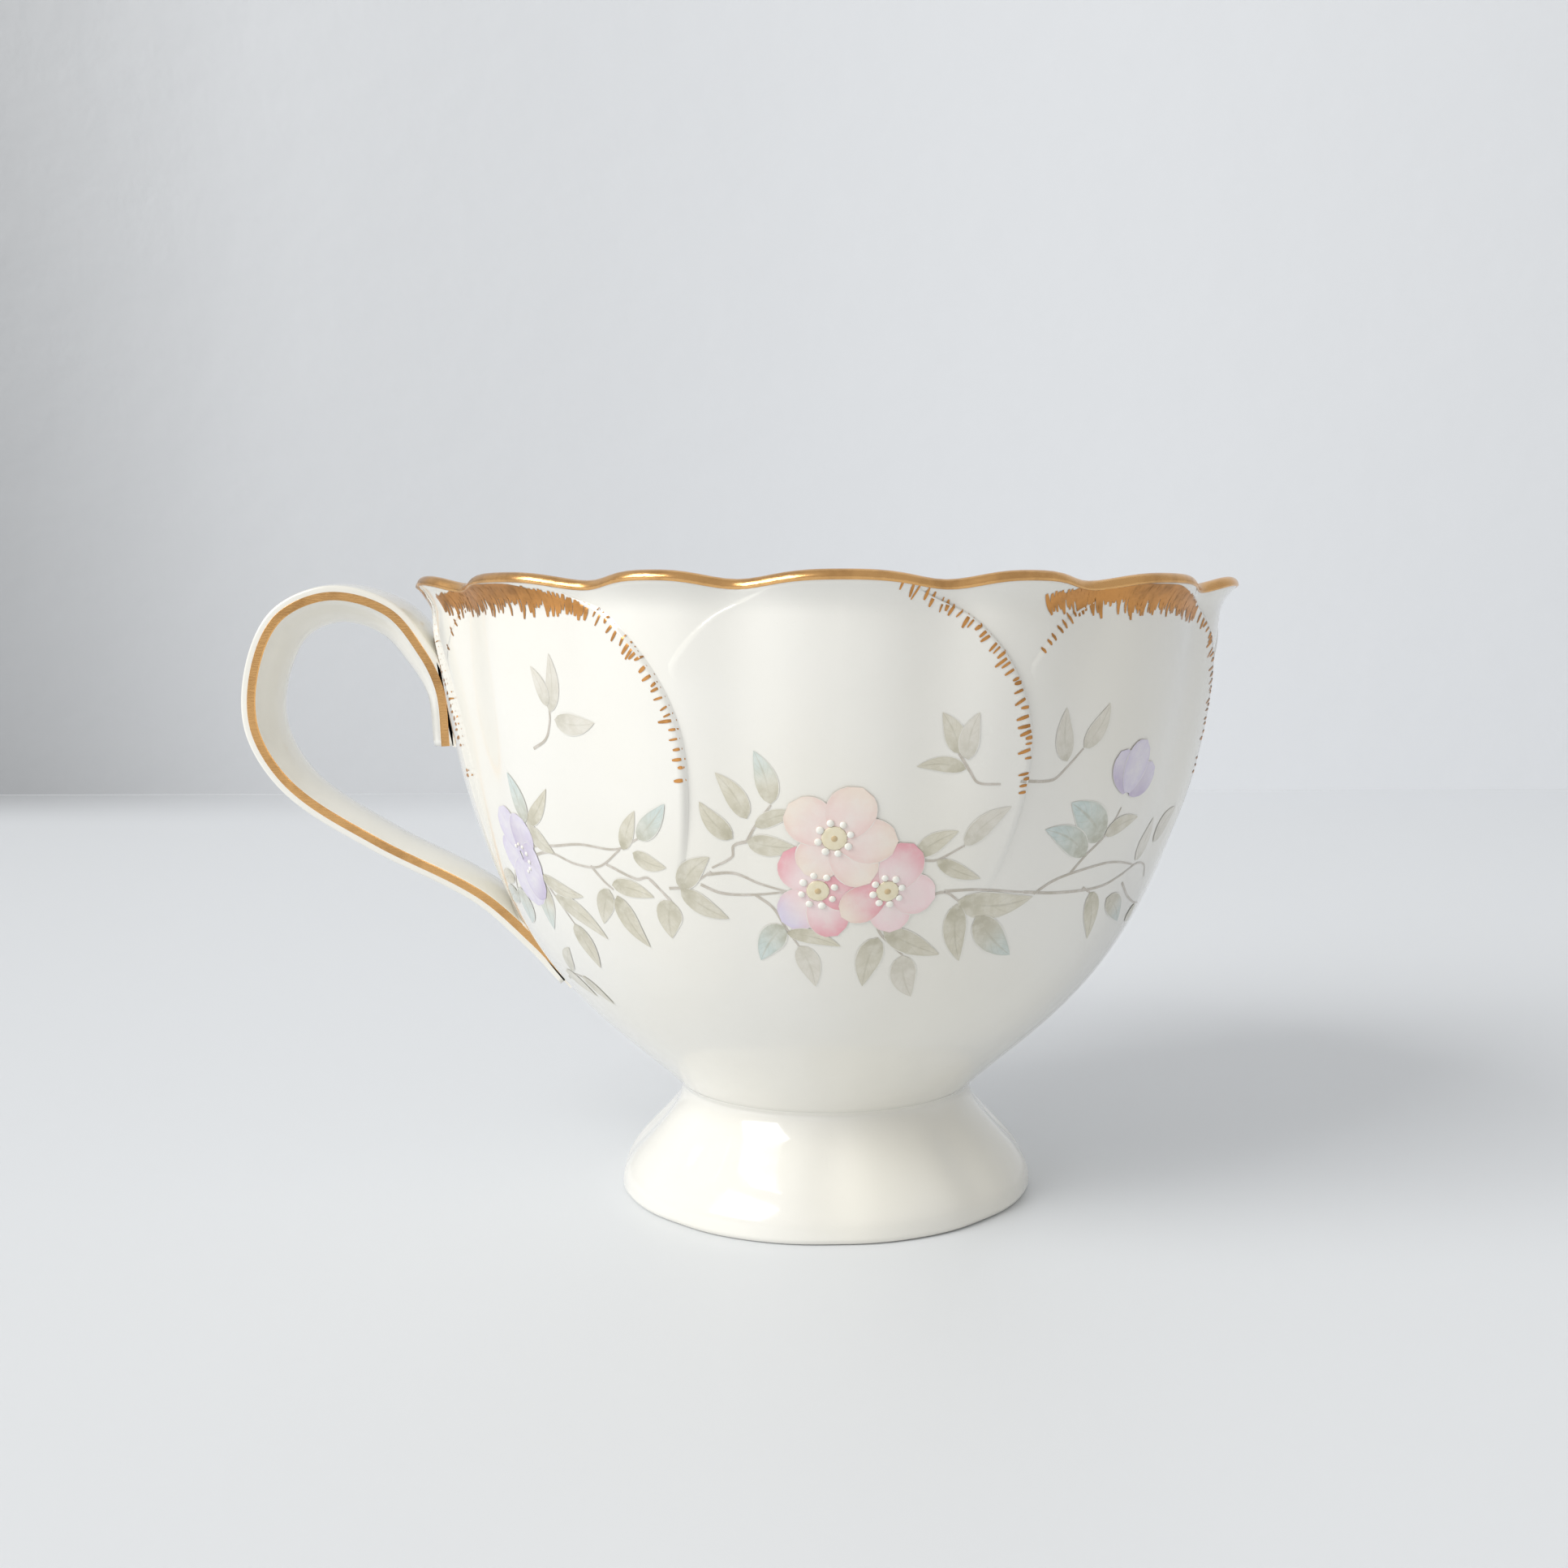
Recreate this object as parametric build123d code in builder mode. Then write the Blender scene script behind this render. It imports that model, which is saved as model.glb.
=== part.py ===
from build123d import *
import os
from math import cos, pi, sin

# Footed bone-china teacup with a scalloped, gilded lip and a strap handle.
# Frame: origin on the cup's axis at the table, +Z up, handle towards -X. Millimetres.
# The bowl, the foot and the handle are cast apart and stuck together with slip, which
# is why thin joint pieces lie between them. The gilding is a thin film on the china.

# Driving dimensions: bowl
cup_height = 72.5             # table to the crests of the lip
lip_radius = 48.0             # outside, at the crests of the lip
lip_flare = 2.0               # how far the lip flares out past the wall's shoulder
shoulder_drop = 4.2           # crests of the lip down to that shoulder
neck_radius = 17.2            # outside of the bowl's underside, on the foot
neck_height = 12.3            # table to the bowl's underside
neck_slope = (0.69, 0.72)     # way the wall leaves the neck (out, up)
neck_pull = 13.6              # how far the wall keeps near that way
shoulder_lean = (0.105, 0.994)  # way the wall comes up to the shoulder (out, up)
shoulder_pull = 41.0          # how far below the shoulder the wall is near that way
wall = 2.2                    # thickness of the wall
lip_wall = 1.6                # thickness of the rounded lip
floor_thickness = 2.8         # underside to the flat floor inside
floor_radius = 9.0            # flat middle of the floor
floor_rise = 0.25             # how far the floor has risen half-way out to the neck

# Driving dimensions: scallops and flutes, wide ones and narrow ones by turns
wide_scallops = 8
wide_share = 0.35             # how much wider the wide ones are, in radians of the wave
lip_wave = 0.9                # crests of the lip down to its dips
lip_flute = 1.9               # depth of the flutes at the lip
shoulder_flute = 0.8          # depth of the flutes at the shoulder
flute_fade = 2                # how fast the flutes fade down the wall

# Driving dimensions: foot
foot_radius = 24.8            # outside, near the table
foot_lobes = 8
foot_groove = 0.6             # depth of the grooves between its lobes
foot_wall = 2.9               # thickness at the neck
foot_edge = 0.8               # rounding of the ring that it stands on
foot_ring = 2.0               # width of the flat ring that touches the table

# Driving dimensions: handle, a strap with a D-shaped section
handle_width = 11.0           # front to back
handle_edge = 1.8             # height of the flat edge faces
tail_drop = 19.2              # crests of the lip down to the tail's end
lower_landing = 26.4          # table to where the handle's lower end dies into the wall

# Driving dimensions: joints and gilding
slip = 0.35                   # thickness of the slip layers
slip_recess = 0.15            # how far the slip stays behind the neck's edge
gold = 0.12                   # thickness of the gilding films
film_gap = 0.04               # clearance under the film on the lip, so that skins never cross
rim_band = 2.0                # crests of the lip down to the edge of the rim gilding
handle_band = 1.0             # width of the gilding along the handle's edges
handle_band_drop = 0.3        # its middle towards the finger side of the edge face

ring_points = 16 * wide_scallops
wall_steps = 8                # stretches between the rings up the wall
flare_steps = 4               # the same up the flare of the lip
edge_steps = 6                # and over its rounded edge
shoulder_height = cup_height - shoulder_drop
shoulder_radius = lip_radius - lip_flare
floor_height = neck_height + floor_thickness


def scallop(angle):
    """How far a direction is towards a dip of the lip: 0 at a crest and 1 at a dip."""
    phase = 2 * wide_scallops * angle - wide_share * sin(wide_scallops * angle)
    rounded = cos(phase) - 0.18 * cos(2 * phase)
    return (0.82 - rounded) / 2


def lobe_groove(angle):
    """How deep in a groove of the foot a direction is: 0 on a lobe and 1 in a groove."""
    return ((1 + cos(foot_lobes * angle)) / 2) ** 3


def ring(radius, height, sink=0.0, wave=0.0, pattern=scallop):
    """Closed ring about the cup's axis, moved in by sink and down by wave on a pattern."""
    points = []
    for step in range(ring_points):
        angle = 2 * pi * step / ring_points
        depth = pattern(angle)
        reach = radius - sink * depth
        points.append((reach * cos(angle), reach * sin(angle), height - wave * depth))
    spacing = [step / ring_points for step in range(ring_points + 1)]
    return Wire(Edge.make_spline(points, periodic=True, parameters=spacing))


# The outside of the wall from the neck to the shoulder, at the handle.
with BuildLine(Plane.XZ) as wall_line:
    Bezier(
        (neck_radius, neck_height),
        (neck_radius + neck_pull * neck_slope[0], neck_height + neck_pull * neck_slope[1]),
        (
            shoulder_radius - shoulder_pull * shoulder_lean[0],
            shoulder_height - shoulder_pull * shoulder_lean[1],
        ),
        (shoulder_radius, shoulder_height),
    )
wall_curve = wall_line.line


def wall_reach(height):
    """Outside radius of the wall at a height between the neck and the shoulder."""
    low, high = 0.0, 1.0
    for _ in range(30):
        middle = (low + high) / 2
        if (wall_curve @ middle).Z < height:
            low = middle
        else:
            high = middle
    return (wall_curve @ low).X


def wall_ring(share, inward):
    """Ring of the wall at a share of the way up it, that far inside its outer surface."""
    point = wall_curve @ share
    way = wall_curve % share
    climb = (point.Z - neck_height) / (shoulder_height - neck_height)
    sink = shoulder_flute * climb**flute_fade
    return ring(point.X - inward * way.Z, point.Z + inward * way.X, sink)


def lip_ring(rise, inward, lift=0.0):
    """Ring of the flared lip: rise is 0 at the shoulder and 1 at the rounded edge."""
    flare = rise**2
    radius = shoulder_radius + lip_flare * flare
    height = shoulder_height + (shoulder_drop - lip_wall / 2) * rise + lift
    sink = shoulder_flute + (lip_flute - shoulder_flute) * flare
    return ring(radius - inward, height, sink, lip_wave * rise)


wall_shares = [step / wall_steps for step in range(wall_steps + 1)]


def flare_run(start, inward):
    """Rings up the flare of the lip, from a start between 0 and 1 to its rounded edge."""
    rings = []
    for step in range(flare_steps + 1):
        rise = start + (1 - start) * step / flare_steps
        rings.append(lip_ring(rise, inward(rise)))
    return rings


def edge_run(off):
    """Rings over the rounded edge of the lip, from the outside to the inside."""
    half = lip_wall / 2
    rings = []
    for step in range(edge_steps + 1):
        turn = pi * step / edge_steps
        inward = half - (half + off) * cos(turn)
        rings.append(lip_ring(1, inward, (half + off) * sin(turn)))
    return rings


def lip_runs(start, off):
    """Runs up the flare, over the edge and down inside, that far off the china."""
    outside = flare_run(start, lambda rise: -off)
    inside = flare_run(start, lambda rise: wall + (lip_wall - wall) * rise + off)
    return [outside, edge_run(off), inside[::-1]]


def skins(*runs):
    """Faces of the smooth skins that pass through each run of rings."""
    return [face for run in runs for face in Shell.make_loft(run).faces()]


lip = lip_runs(0, 0)
outer_run = [wall_ring(share, 0) for share in wall_shares]
inner_run = [lip[-1][-1]]
for share in wall_shares[-2:0:-1]:
    thickening = (floor_thickness - wall) * (1 - share) ** 3
    inner_run.append(wall_ring(share, wall + thickening))
inner_run.append(ring((neck_radius + floor_radius) / 2, floor_height + floor_rise))
inner_run.append(ring(floor_radius, floor_height))

with BuildPart() as bowl:
    faces = skins(outer_run, *lip, inner_run)
    faces += [Face(outer_run[0]), Face(inner_run[-1])]
    add(Solid(Shell(faces)))
bowl.part.label = "bowl"

# The foot flares from the neck to a rounded ring and is open inside.
foot_top = neck_height - slip
foot_flare = [  # share of its height, share of its spread, share of the grooves' depth
    (0.2, 0.97, 0.6),
    (0.35, 0.82, 0.9),
    (0.5, 0.6, 1),
    (0.65, 0.37, 0.9),
    (0.82, 0.14, 0.5),
]
foot_rings = []
for turn in (pi / 2, pi / 4, 0):
    drop_in = foot_edge * (1 - cos(turn))
    rise_up = foot_edge * (1 - sin(turn))
    foot_rings.append(ring(foot_radius - drop_in, rise_up, foot_groove / 3, pattern=lobe_groove))
for climb, flare, depth in foot_flare:
    radius = neck_radius + (foot_radius - neck_radius) * flare
    foot_rings.append(ring(radius, foot_top * climb, foot_groove * depth, pattern=lobe_groove))
foot_rings.append(ring(neck_radius, foot_top, pattern=lobe_groove))

foot_bore = neck_radius - foot_wall
ring_bore = foot_radius - foot_edge - foot_ring
with BuildPart() as foot:
    add(Solid.make_loft(foot_rings))
    with BuildSketch(Plane.XZ) as hollow:
        with BuildLine():
            Polyline((foot_bore, foot_top), (0, foot_top), (0, 0), (ring_bore, 0))
            Spline(
                (ring_bore, 0),
                (foot_bore, foot_top),
                tangents=((-0.3, 1), (-0.2, 1)),
            )
        make_face()
    revolve(axis=Axis.Z, mode=Mode.SUBTRACT)
foot.part.label = "foot"

with BuildPart() as foot_joint:
    with BuildSketch(Plane.XY.offset(foot_top)):
        Circle(neck_radius - slip_recess)
        Circle(foot_bore + slip_recess, mode=Mode.SUBTRACT)
    extrude(amount=slip)
foot_joint.part.label = "foot_joint"

# Stations of the handle from the tail, which lies along the wall, over the top and round
# to the lower landing. Each has the end of the handle that it goes by, how far out and up
# it is from there, and how far the outer side and the finger side are domed.
tail_height = cup_height - tail_drop
tail = (wall_reach(tail_height), tail_height)
landing = (wall_reach(lower_landing), lower_landing)
handle_stations = [
    (tail, 0.35, 0.0, 0.3, 1.7),
    (tail, 0.85, 6.3, 0.3, 1.8),
    (tail, 2.8, 10.8, 0.3, 2.2),
    (tail, 6.9, 15.8, 0.3, 2.6),
    (tail, 13.6, 17.6, 0.3, 2.4),
    (tail, 19.7, 15.0, 0.4, 2.3),
    (tail, 22.7, 8.6, 0.5, 1.9),
    (tail, 22.7, 1.4, 0.5, 1.6),
    (landing, 30.3, 21.7, 0.5, 1.1),
    (landing, 20.9, 15.5, 0.5, 0.8),
    (landing, 9.3, 9.4, 0.5, 0.6),
    (landing, 2.9, 3.7, 0.5, 0.3),
    (landing, -2.0, -1.2, 0.1, 0.1),
]
with BuildLine(Plane.XZ) as spine_line:
    Spline(*[(-end[0] - out, end[1] + up) for end, out, up, crown, belly in handle_stations])
spine = spine_line.line.edge()

half_width = handle_width / 2
half_edge = handle_edge / 2
strap_sections = []
band_sections = []
for end, out, up, crown, belly in handle_stations:
    point = Vector(-end[0] - out, 0, end[1] + up)
    across = Plane(point, x_dir=(0, -1, 0), z_dir=spine.tangent_at(point))
    with BuildSketch(across) as section:
        with BuildLine():
            ThreePointArc(
                (-half_width, half_edge), (0, half_edge + crown), (half_width, half_edge)
            )
            Line((half_width, half_edge), (half_width, -half_edge))
            ThreePointArc(
                (half_width, -half_edge), (0, -half_edge - belly), (-half_width, -half_edge)
            )
            Line((-half_width, -half_edge), (-half_width, half_edge))
        make_face()
    strap_sections.append(section.sketch.face())
    with BuildSketch(across) as section:
        with Locations((half_width + gold / 2, -handle_band_drop)):
            Rectangle(gold, handle_band)
    band_sections.append(section.sketch.face())

# What lies behind the front of the slip: the wall's outside, filled and grown by the slip.
slip_front = Solid.make_loft([wall_ring(share, -slip) for share in wall_shares])
with BuildPart() as handle:
    loft(strap_sections)
    add(slip_front, mode=Mode.SUBTRACT)
handle.part.label = "handle"

with BuildPart() as slip_layer:
    loft(strap_sections)
    add(slip_front, mode=Mode.INTERSECT)
    add(bowl.part, mode=Mode.SUBTRACT)

between_joints = Plane.XY.offset((tail_height + lower_landing) / 2)
with BuildPart() as upper_handle_joint:
    add(slip_layer.part)
    split(bisect_by=between_joints, keep=Keep.TOP)
upper_handle_joint.part.label = "upper_handle_joint"

with BuildPart() as lower_handle_joint:
    add(slip_layer.part)
    split(bisect_by=between_joints, keep=Keep.BOTTOM)
lower_handle_joint.part.label = "lower_handle_joint"

# Gilding: a film over the lip and a band along each edge of the handle.
band_rise = 1 - (rim_band - lip_wall / 2) / (shoulder_drop - lip_wall / 2)
near_runs = lip_runs(band_rise, film_gap)
far_runs = lip_runs(band_rise, film_gap + gold)
with BuildPart() as rim_gilding:
    faces = skins(*near_runs, *far_runs)
    for near, far in ((near_runs[0][0], far_runs[0][0]), (near_runs[-1][-1], far_runs[-1][-1])):
        faces += Shell.make_loft([near, far], ruled=True).faces()
    add(Solid(Shell(faces)))
rim_gilding.part.label = "rim_gilding"

with BuildPart() as handle_gilding_front:
    loft(band_sections)
    add(slip_front, mode=Mode.SUBTRACT)
handle_gilding_front.part.label = "handle_gilding_front"

with BuildPart() as handle_gilding_rear:
    add(handle_gilding_front.part)
    mirror(about=Plane.XZ, mode=Mode.REPLACE)
handle_gilding_rear.part.label = "handle_gilding_rear"

os.makedirs("parts", exist_ok=True)
for piece in (
    bowl,
    foot,
    handle,
    foot_joint,
    upper_handle_joint,
    lower_handle_joint,
    rim_gilding,
    handle_gilding_front,
    handle_gilding_rear,
):
    export_step(piece.part, f"parts/{piece.part.label}.step")
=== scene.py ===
"""A footed bone-china teacup: glazed bowl, foot and handle, gilding, and painted sprays of flowers."""

import random
from bisect import bisect_right
from collections import namedtuple
from math import atan2, cos, degrees, exp, hypot, pi, radians, sin

import bmesh
import bpy
from bpy.props import FloatProperty, FloatVectorProperty, IntProperty, PointerProperty
from mathutils import Matrix, Vector
from mathutils.bvhtree import BVHTree
from mathutils.geometry import interpolate_bezier


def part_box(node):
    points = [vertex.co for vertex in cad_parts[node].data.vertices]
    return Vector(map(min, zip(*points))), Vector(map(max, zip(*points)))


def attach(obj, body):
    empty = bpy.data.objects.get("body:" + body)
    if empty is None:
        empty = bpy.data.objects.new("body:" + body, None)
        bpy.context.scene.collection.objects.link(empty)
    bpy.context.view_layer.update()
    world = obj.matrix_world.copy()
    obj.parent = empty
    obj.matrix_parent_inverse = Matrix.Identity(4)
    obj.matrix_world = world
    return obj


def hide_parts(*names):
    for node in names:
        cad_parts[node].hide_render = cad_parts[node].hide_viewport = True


bl_info = {
    "name": "Painted Teacup",
    "version": (1, 0, 0),
    "blender": (4, 5, 0),
    "location": "View3D > Sidebar > Teacup",
    "description": "Builds the glazed, gilded and painted looks of a footed teacup round its CAD frame",
    "category": "Add Mesh",
}

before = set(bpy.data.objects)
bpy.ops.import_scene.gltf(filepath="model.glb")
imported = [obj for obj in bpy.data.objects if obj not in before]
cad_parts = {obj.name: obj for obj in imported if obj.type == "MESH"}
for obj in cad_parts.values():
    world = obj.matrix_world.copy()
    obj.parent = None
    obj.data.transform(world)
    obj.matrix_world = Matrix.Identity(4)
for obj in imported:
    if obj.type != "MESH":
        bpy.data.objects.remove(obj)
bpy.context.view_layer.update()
BOWL_LOW, BOWL_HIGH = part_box("bowl")
HANDLE_LOW, HANDLE_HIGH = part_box("handle")
MM = 0.001


# ---------------------------------------------------------------- sizes and colours


def length(name, description, default):
    """A size in metres that a user may change."""
    return FloatProperty(
        name=name, description=description, default=default, unit="LENGTH", subtype="DISTANCE", precision=5
    )


def colour(name, description, default):
    """A colour that a user may change."""
    return FloatVectorProperty(
        name=name, description=description, default=default, subtype="COLOR", size=3, min=0, max=1
    )


class TeacupSizes(bpy.types.PropertyGroup):
    """Sizes of the china, the relief and the gilding."""

    cup_height: length("Cup height", "Table to the crests of the lip", BOWL_HIGH.z)
    lip_radius: length("Lip radius", "Outside of the bowl at the crests of the lip", BOWL_HIGH.x)
    shoulder_radius: length("Shoulder radius", "Outside of the wall where the lip starts", 46 * MM)
    shoulder_drop: length("Shoulder drop", "Crests of the lip down to the shoulder", 4.2 * MM)
    neck_radius: length("Neck radius", "Outside of the bowl's underside, on the foot", 17.2 * MM)
    neck_height: length("Neck height", "Table to the bowl's underside", BOWL_LOW.z)
    neck_pull: length("Neck pull", "How far the wall keeps near its way off the neck", 13.6 * MM)
    shoulder_pull: length("Shoulder pull", "How far the wall keeps near its way to the shoulder", 41 * MM)
    wall: length("Wall", "Thickness of the wall", 2.2 * MM)
    lip_wall: length("Lip", "Thickness of the rounded lip", 1.6 * MM)
    floor_thickness: length("Floor", "Thickness of the floor", 2.8 * MM)
    floor_radius: length("Floor radius", "Flat middle of the floor inside", 9 * MM)
    lip_wave: length("Lip wave", "Crests of the lip down to its dips", 0.9 * MM)
    lip_flute: length("Lip flutes", "Depth of the flutes at the lip", 1.9 * MM)
    shoulder_flute: length("Shoulder flutes", "Depth of the flutes at the shoulder", 0.8 * MM)
    petal_edge: length("Petal edge", "How far a petal of the relief stands over its neighbour", 0.42 * MM)
    crown_edge: length("Crown edge", "How far a petal's other edge stands out near the lip", 0.12 * MM)
    foot_radius: length("Foot radius", "Outside of the foot's lobes near the table", 24.8 * MM)
    foot_groove: length("Foot grooves", "Depth of the grooves between the foot's lobes", 0.6 * MM)
    handle_width: length("Handle width", "Width of the strap", HANDLE_HIGH.y - HANDLE_LOW.y)
    handle_edge: length("Handle edge", "Height of the strap's edge faces", 1.8 * MM)
    handle_band: length("Handle gilding", "Width of the gilding along the strap's edges", 1.0 * MM)
    film: length("Gilding", "Thickness of the gilding", 0.07 * MM)
    seed: IntProperty(name="Brush seed", description="Start of the brush strokes' random draws", default=7)


class TeacupColours(bpy.types.PropertyGroup):
    """Colours of the china, the gilding and the paints."""

    china: colour("China", "Warm white of the glazed china", (0.885, 0.87, 0.815))
    slip: colour("Slip", "Dry slip between the cast pieces", (0.80, 0.76, 0.68))
    gold: colour("Gold", "Bright burnished gold", (0.81, 0.465, 0.185))
    brushed_gold: colour("Brushed gold", "Deeper gold of the dashes and crowns", (0.67, 0.32, 0.10))
    gold_deep: colour("Deep gold", "Brown where the gold is thick or worn", (0.36, 0.17, 0.055))
    olive: colour("Olive", "Khaki green of most leaves", (0.63, 0.585, 0.44))
    olive_deep: colour("Deep olive", "Shade at the leaves' base and veins", (0.25, 0.22, 0.09))
    teal: colour("Teal", "Blue-green of some leaves and leaf tips", (0.50, 0.64, 0.63))
    pale: colour("Pale green", "Palest leaves", (0.68, 0.63, 0.52))
    stem: colour("Stem", "Grey-brown of the vines", (0.47, 0.40, 0.34))
    cream: colour("Cream", "Outside of the cream blossom", (0.92, 0.77, 0.65))
    peach: colour("Peach", "Inside of the cream blossom", (0.92, 0.69, 0.65))
    rose: colour("Rose", "Deep pink of the pink blossoms", (0.84, 0.29, 0.37))
    blush: colour("Blush", "Pale pink of the pink blossoms", (0.93, 0.68, 0.71))
    lilac: colour("Lilac", "Pale lilac petals", (0.68, 0.62, 0.83))
    violet: colour("Violet", "Deep lilac of the folds", (0.42, 0.32, 0.60))
    enamel: colour("Enamel", "Raised white dots round the blossoms' hearts", (0.93, 0.92, 0.86))
    heart: colour("Heart", "Yellow heart of a blossom", (0.85, 0.74, 0.46))
    table: colour("Table", "White table", (0.80, 0.82, 0.845))
    backdrop: colour("Wall behind", "Pale blue-grey wall", (0.81, 0.83, 0.86))


# ---------------------------------------------------------------- the cup's surfaces

PETALS = 8
COLUMNS = 80                  # columns of faces across one petal of the relief
EDGE_COLUMN = 26              # columns from a petal's middle to its right edge
CROWN_COLUMN = 54             # columns to the next petal's left edge
EDGE_STEP = radians(0.3)      # how wide the small step at an edge is
WIDE_SHARE = 0.35             # how much wider every second scallop is
NECK_SLOPE = Vector((0.69, 0.72))
SHOULDER_LEAN = Vector((0.105, 0.994))
NO_RELIEF = Vector((0, 0))

# The outline of a petal: widest at a height, rounded off above it and drawn in below it.
PETAL_MIDDLE = 54 * MM
PETAL_WIDEST = radians(24.9)
PETAL_RISE = 18.6 * MM
PETAL_DROP = 26 * MM
PETAL_ROUND = 0.55
PETAL_FALL = 1.82             # how its top falls away to the sides, about 1 / PETAL_ROUND

# Where the relief starts, where each edge's step grows to its full height, where both fade
# out under the lip, and how far into the petal each step is felt.
RELIEF_FOOT = 36 * MM
EDGE_GROWS = (39 * MM, 52 * MM)
CROWN_GROWS = (61.5 * MM, 64.5 * MM)
LIP_FADE = (69.6 * MM, 71.6 * MM)
EDGE_REACH = 5.5 * MM
CROWN_REACH = 4.5 * MM

# One point of a spun profile: how deep its flutes and how high its waves are there, which
# way its relief stands out, and how far its columns bend to follow the petals' edges.
Station = namedtuple("Station", "radius height sink wave out bend", defaults=(0, 0, NO_RELIEF, 0))


def smooth_share(low, high, value):
    """0 below low, 1 above high, and a smooth rise between."""
    share = min(1, max(0, (value - low) / (high - low)))
    return share * share * (3 - 2 * share)


def scallop(angle):
    """How far a direction is towards a dip of the lip: 0 at a crest and 1 at a dip."""
    phase = 2 * PETALS * angle - WIDE_SHARE * sin(PETALS * angle)
    return (0.82 - cos(phase) + 0.18 * cos(2 * phase)) / 2


def lobe_groove(angle):
    """How deep in a groove of the foot a direction is: 0 on a lobe and 1 in a groove."""
    return ((1 + cos(PETALS * angle)) / 2) ** 3


def petal_half(height):
    """Half the angle that a petal of the relief spans at a height."""
    if height > PETAL_MIDDLE:
        share = min(0.985, (height - PETAL_MIDDLE) / PETAL_RISE)
        return PETAL_WIDEST * (1 - share**2) ** PETAL_ROUND
    share = min(0.54, (PETAL_MIDDLE - height) / PETAL_DROP)
    return PETAL_WIDEST * (1 - share**2) ** 0.5


def petal_top(angle):
    """Height of a petal's outline at an angle from its middle, above its widest place."""
    return PETAL_MIDDLE + PETAL_RISE * (1 - (angle / PETAL_WIDEST) ** PETAL_FALL) ** 0.5


class Cup:
    """The china's surfaces, worked out from the sizes."""

    def __init__(self, size):
        self.size = size
        self.shoulder_height = size.cup_height - size.shoulder_drop
        neck = Vector((size.neck_radius, size.neck_height))
        shoulder = Vector((size.shoulder_radius, self.shoulder_height))
        self.wall_line = interpolate_bezier(
            neck,
            neck + size.neck_pull * NECK_SLOPE,
            shoulder - size.shoulder_pull * SHOULDER_LEAN,
            shoulder,
            600,
        )
        self.wall_heights = [point.y for point in self.wall_line]

    def wall_at(self, height):
        """Point of the wall's outside at a height, and the way out of it there, as (out, up)."""
        step = min(len(self.wall_line) - 1, max(1, bisect_right(self.wall_heights, height)))
        low, high = self.wall_line[step - 1], self.wall_line[step]
        way = (high - low).normalized()
        return low.lerp(high, (height - low.y) / (high.y - low.y)), Vector((way.y, -way.x))

    def wall_station(self, height, inward=0.0, relief=False, bend=1.0):
        """Station of the wall, that far inside its outer surface at a height."""
        point, out = self.wall_at(height)
        climb = (height - self.size.neck_height) / (self.shoulder_height - self.size.neck_height)
        inner = point - inward * out
        sink = self.size.shoulder_flute * climb**2
        return Station(inner.x, inner.y, sink, 0, out if relief else NO_RELIEF, bend)

    def lip_station(self, rise, inward=0.0, lift=0.0, relief=False):
        """Station of the flared lip: rise is 0 at the shoulder and 1 at the rounded edge."""
        size = self.size
        flare = rise**2
        return Station(
            size.shoulder_radius + (size.lip_radius - size.shoulder_radius) * flare - inward,
            self.shoulder_height + (size.shoulder_drop - size.lip_wall / 2) * rise + lift,
            size.shoulder_flute + (size.lip_flute - size.shoulder_flute) * flare,
            size.lip_wave * rise,
            Vector((1, 0)) if relief else NO_RELIEF,
            1,
        )

    def lip_thickness(self, rise):
        """Thickness of the flare, from the wall's to the lip's."""
        return self.size.wall + (self.size.lip_wall - self.size.wall) * rise

    def lip_stations(self, start, off=0.0, relief=False, flare_steps=6, edge_steps=10):
        """Stations up the flare, over the edge and down inside, that far off the china."""
        half = self.size.lip_wall / 2
        rises = [start + (1 - start) * step / flare_steps for step in range(flare_steps + 1)]
        stations = [self.lip_station(rise, -off, relief=relief) for rise in rises]
        for step in range(1, edge_steps):
            turn = pi * step / edge_steps
            stations.append(self.lip_station(1, half - (half + off) * cos(turn), (half + off) * sin(turn)))
        stations += [self.lip_station(rise, self.lip_thickness(rise) + off) for rise in reversed(rises)]
        return stations

    def bowl_stations(self):
        """Profile of the whole bowl from the middle of its underside, round the lip, to the floor."""
        size = self.size
        low_steps, high_steps, inner_steps, bend_steps = 20, 42, 34, 12
        stations = [Station(size.neck_radius * share, size.neck_height) for share in (0, 0.5, 0.9)]
        for step in range(low_steps):
            height = size.neck_height + (RELIEF_FOOT - size.neck_height) * step / low_steps
            stations.append(self.wall_station(height))
        for step in range(high_steps):
            height = RELIEF_FOOT + (self.shoulder_height - RELIEF_FOOT) * step / high_steps
            stations.append(self.wall_station(height, relief=True))
        stations += self.lip_stations(0, relief=True)
        for step in range(1, inner_steps):
            share = 1 - step / inner_steps
            height = size.neck_height + (self.shoulder_height - size.neck_height) * share
            thickening = (size.floor_thickness - size.wall) * (1 - share) ** 3
            bend = max(0, 1 - step / bend_steps)
            stations.append(self.wall_station(height, size.wall + thickening, bend=bend))
        floor = size.neck_height + size.floor_thickness
        between, corner_rise = (size.neck_radius + size.floor_radius) / 2, 0.25 * MM
        stations.append(Station(between, floor + corner_rise))
        stations += [Station(size.floor_radius * share, floor) for share in (1, 0.5, 0.1, 0)]
        return stations

    def columns_at(self, height):
        """Angle from a petal's middle of each marked column at a height."""
        edge = petal_half(height)
        crown = max(2 * pi / PETALS - edge, edge + radians(2.5))
        return [
            (0, 0),
            (EDGE_COLUMN, edge),
            (EDGE_COLUMN + 1, edge + EDGE_STEP),
            (CROWN_COLUMN - 1, crown - EDGE_STEP),
            (CROWN_COLUMN, crown),
            (COLUMNS, 2 * pi / PETALS),
        ]

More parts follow.
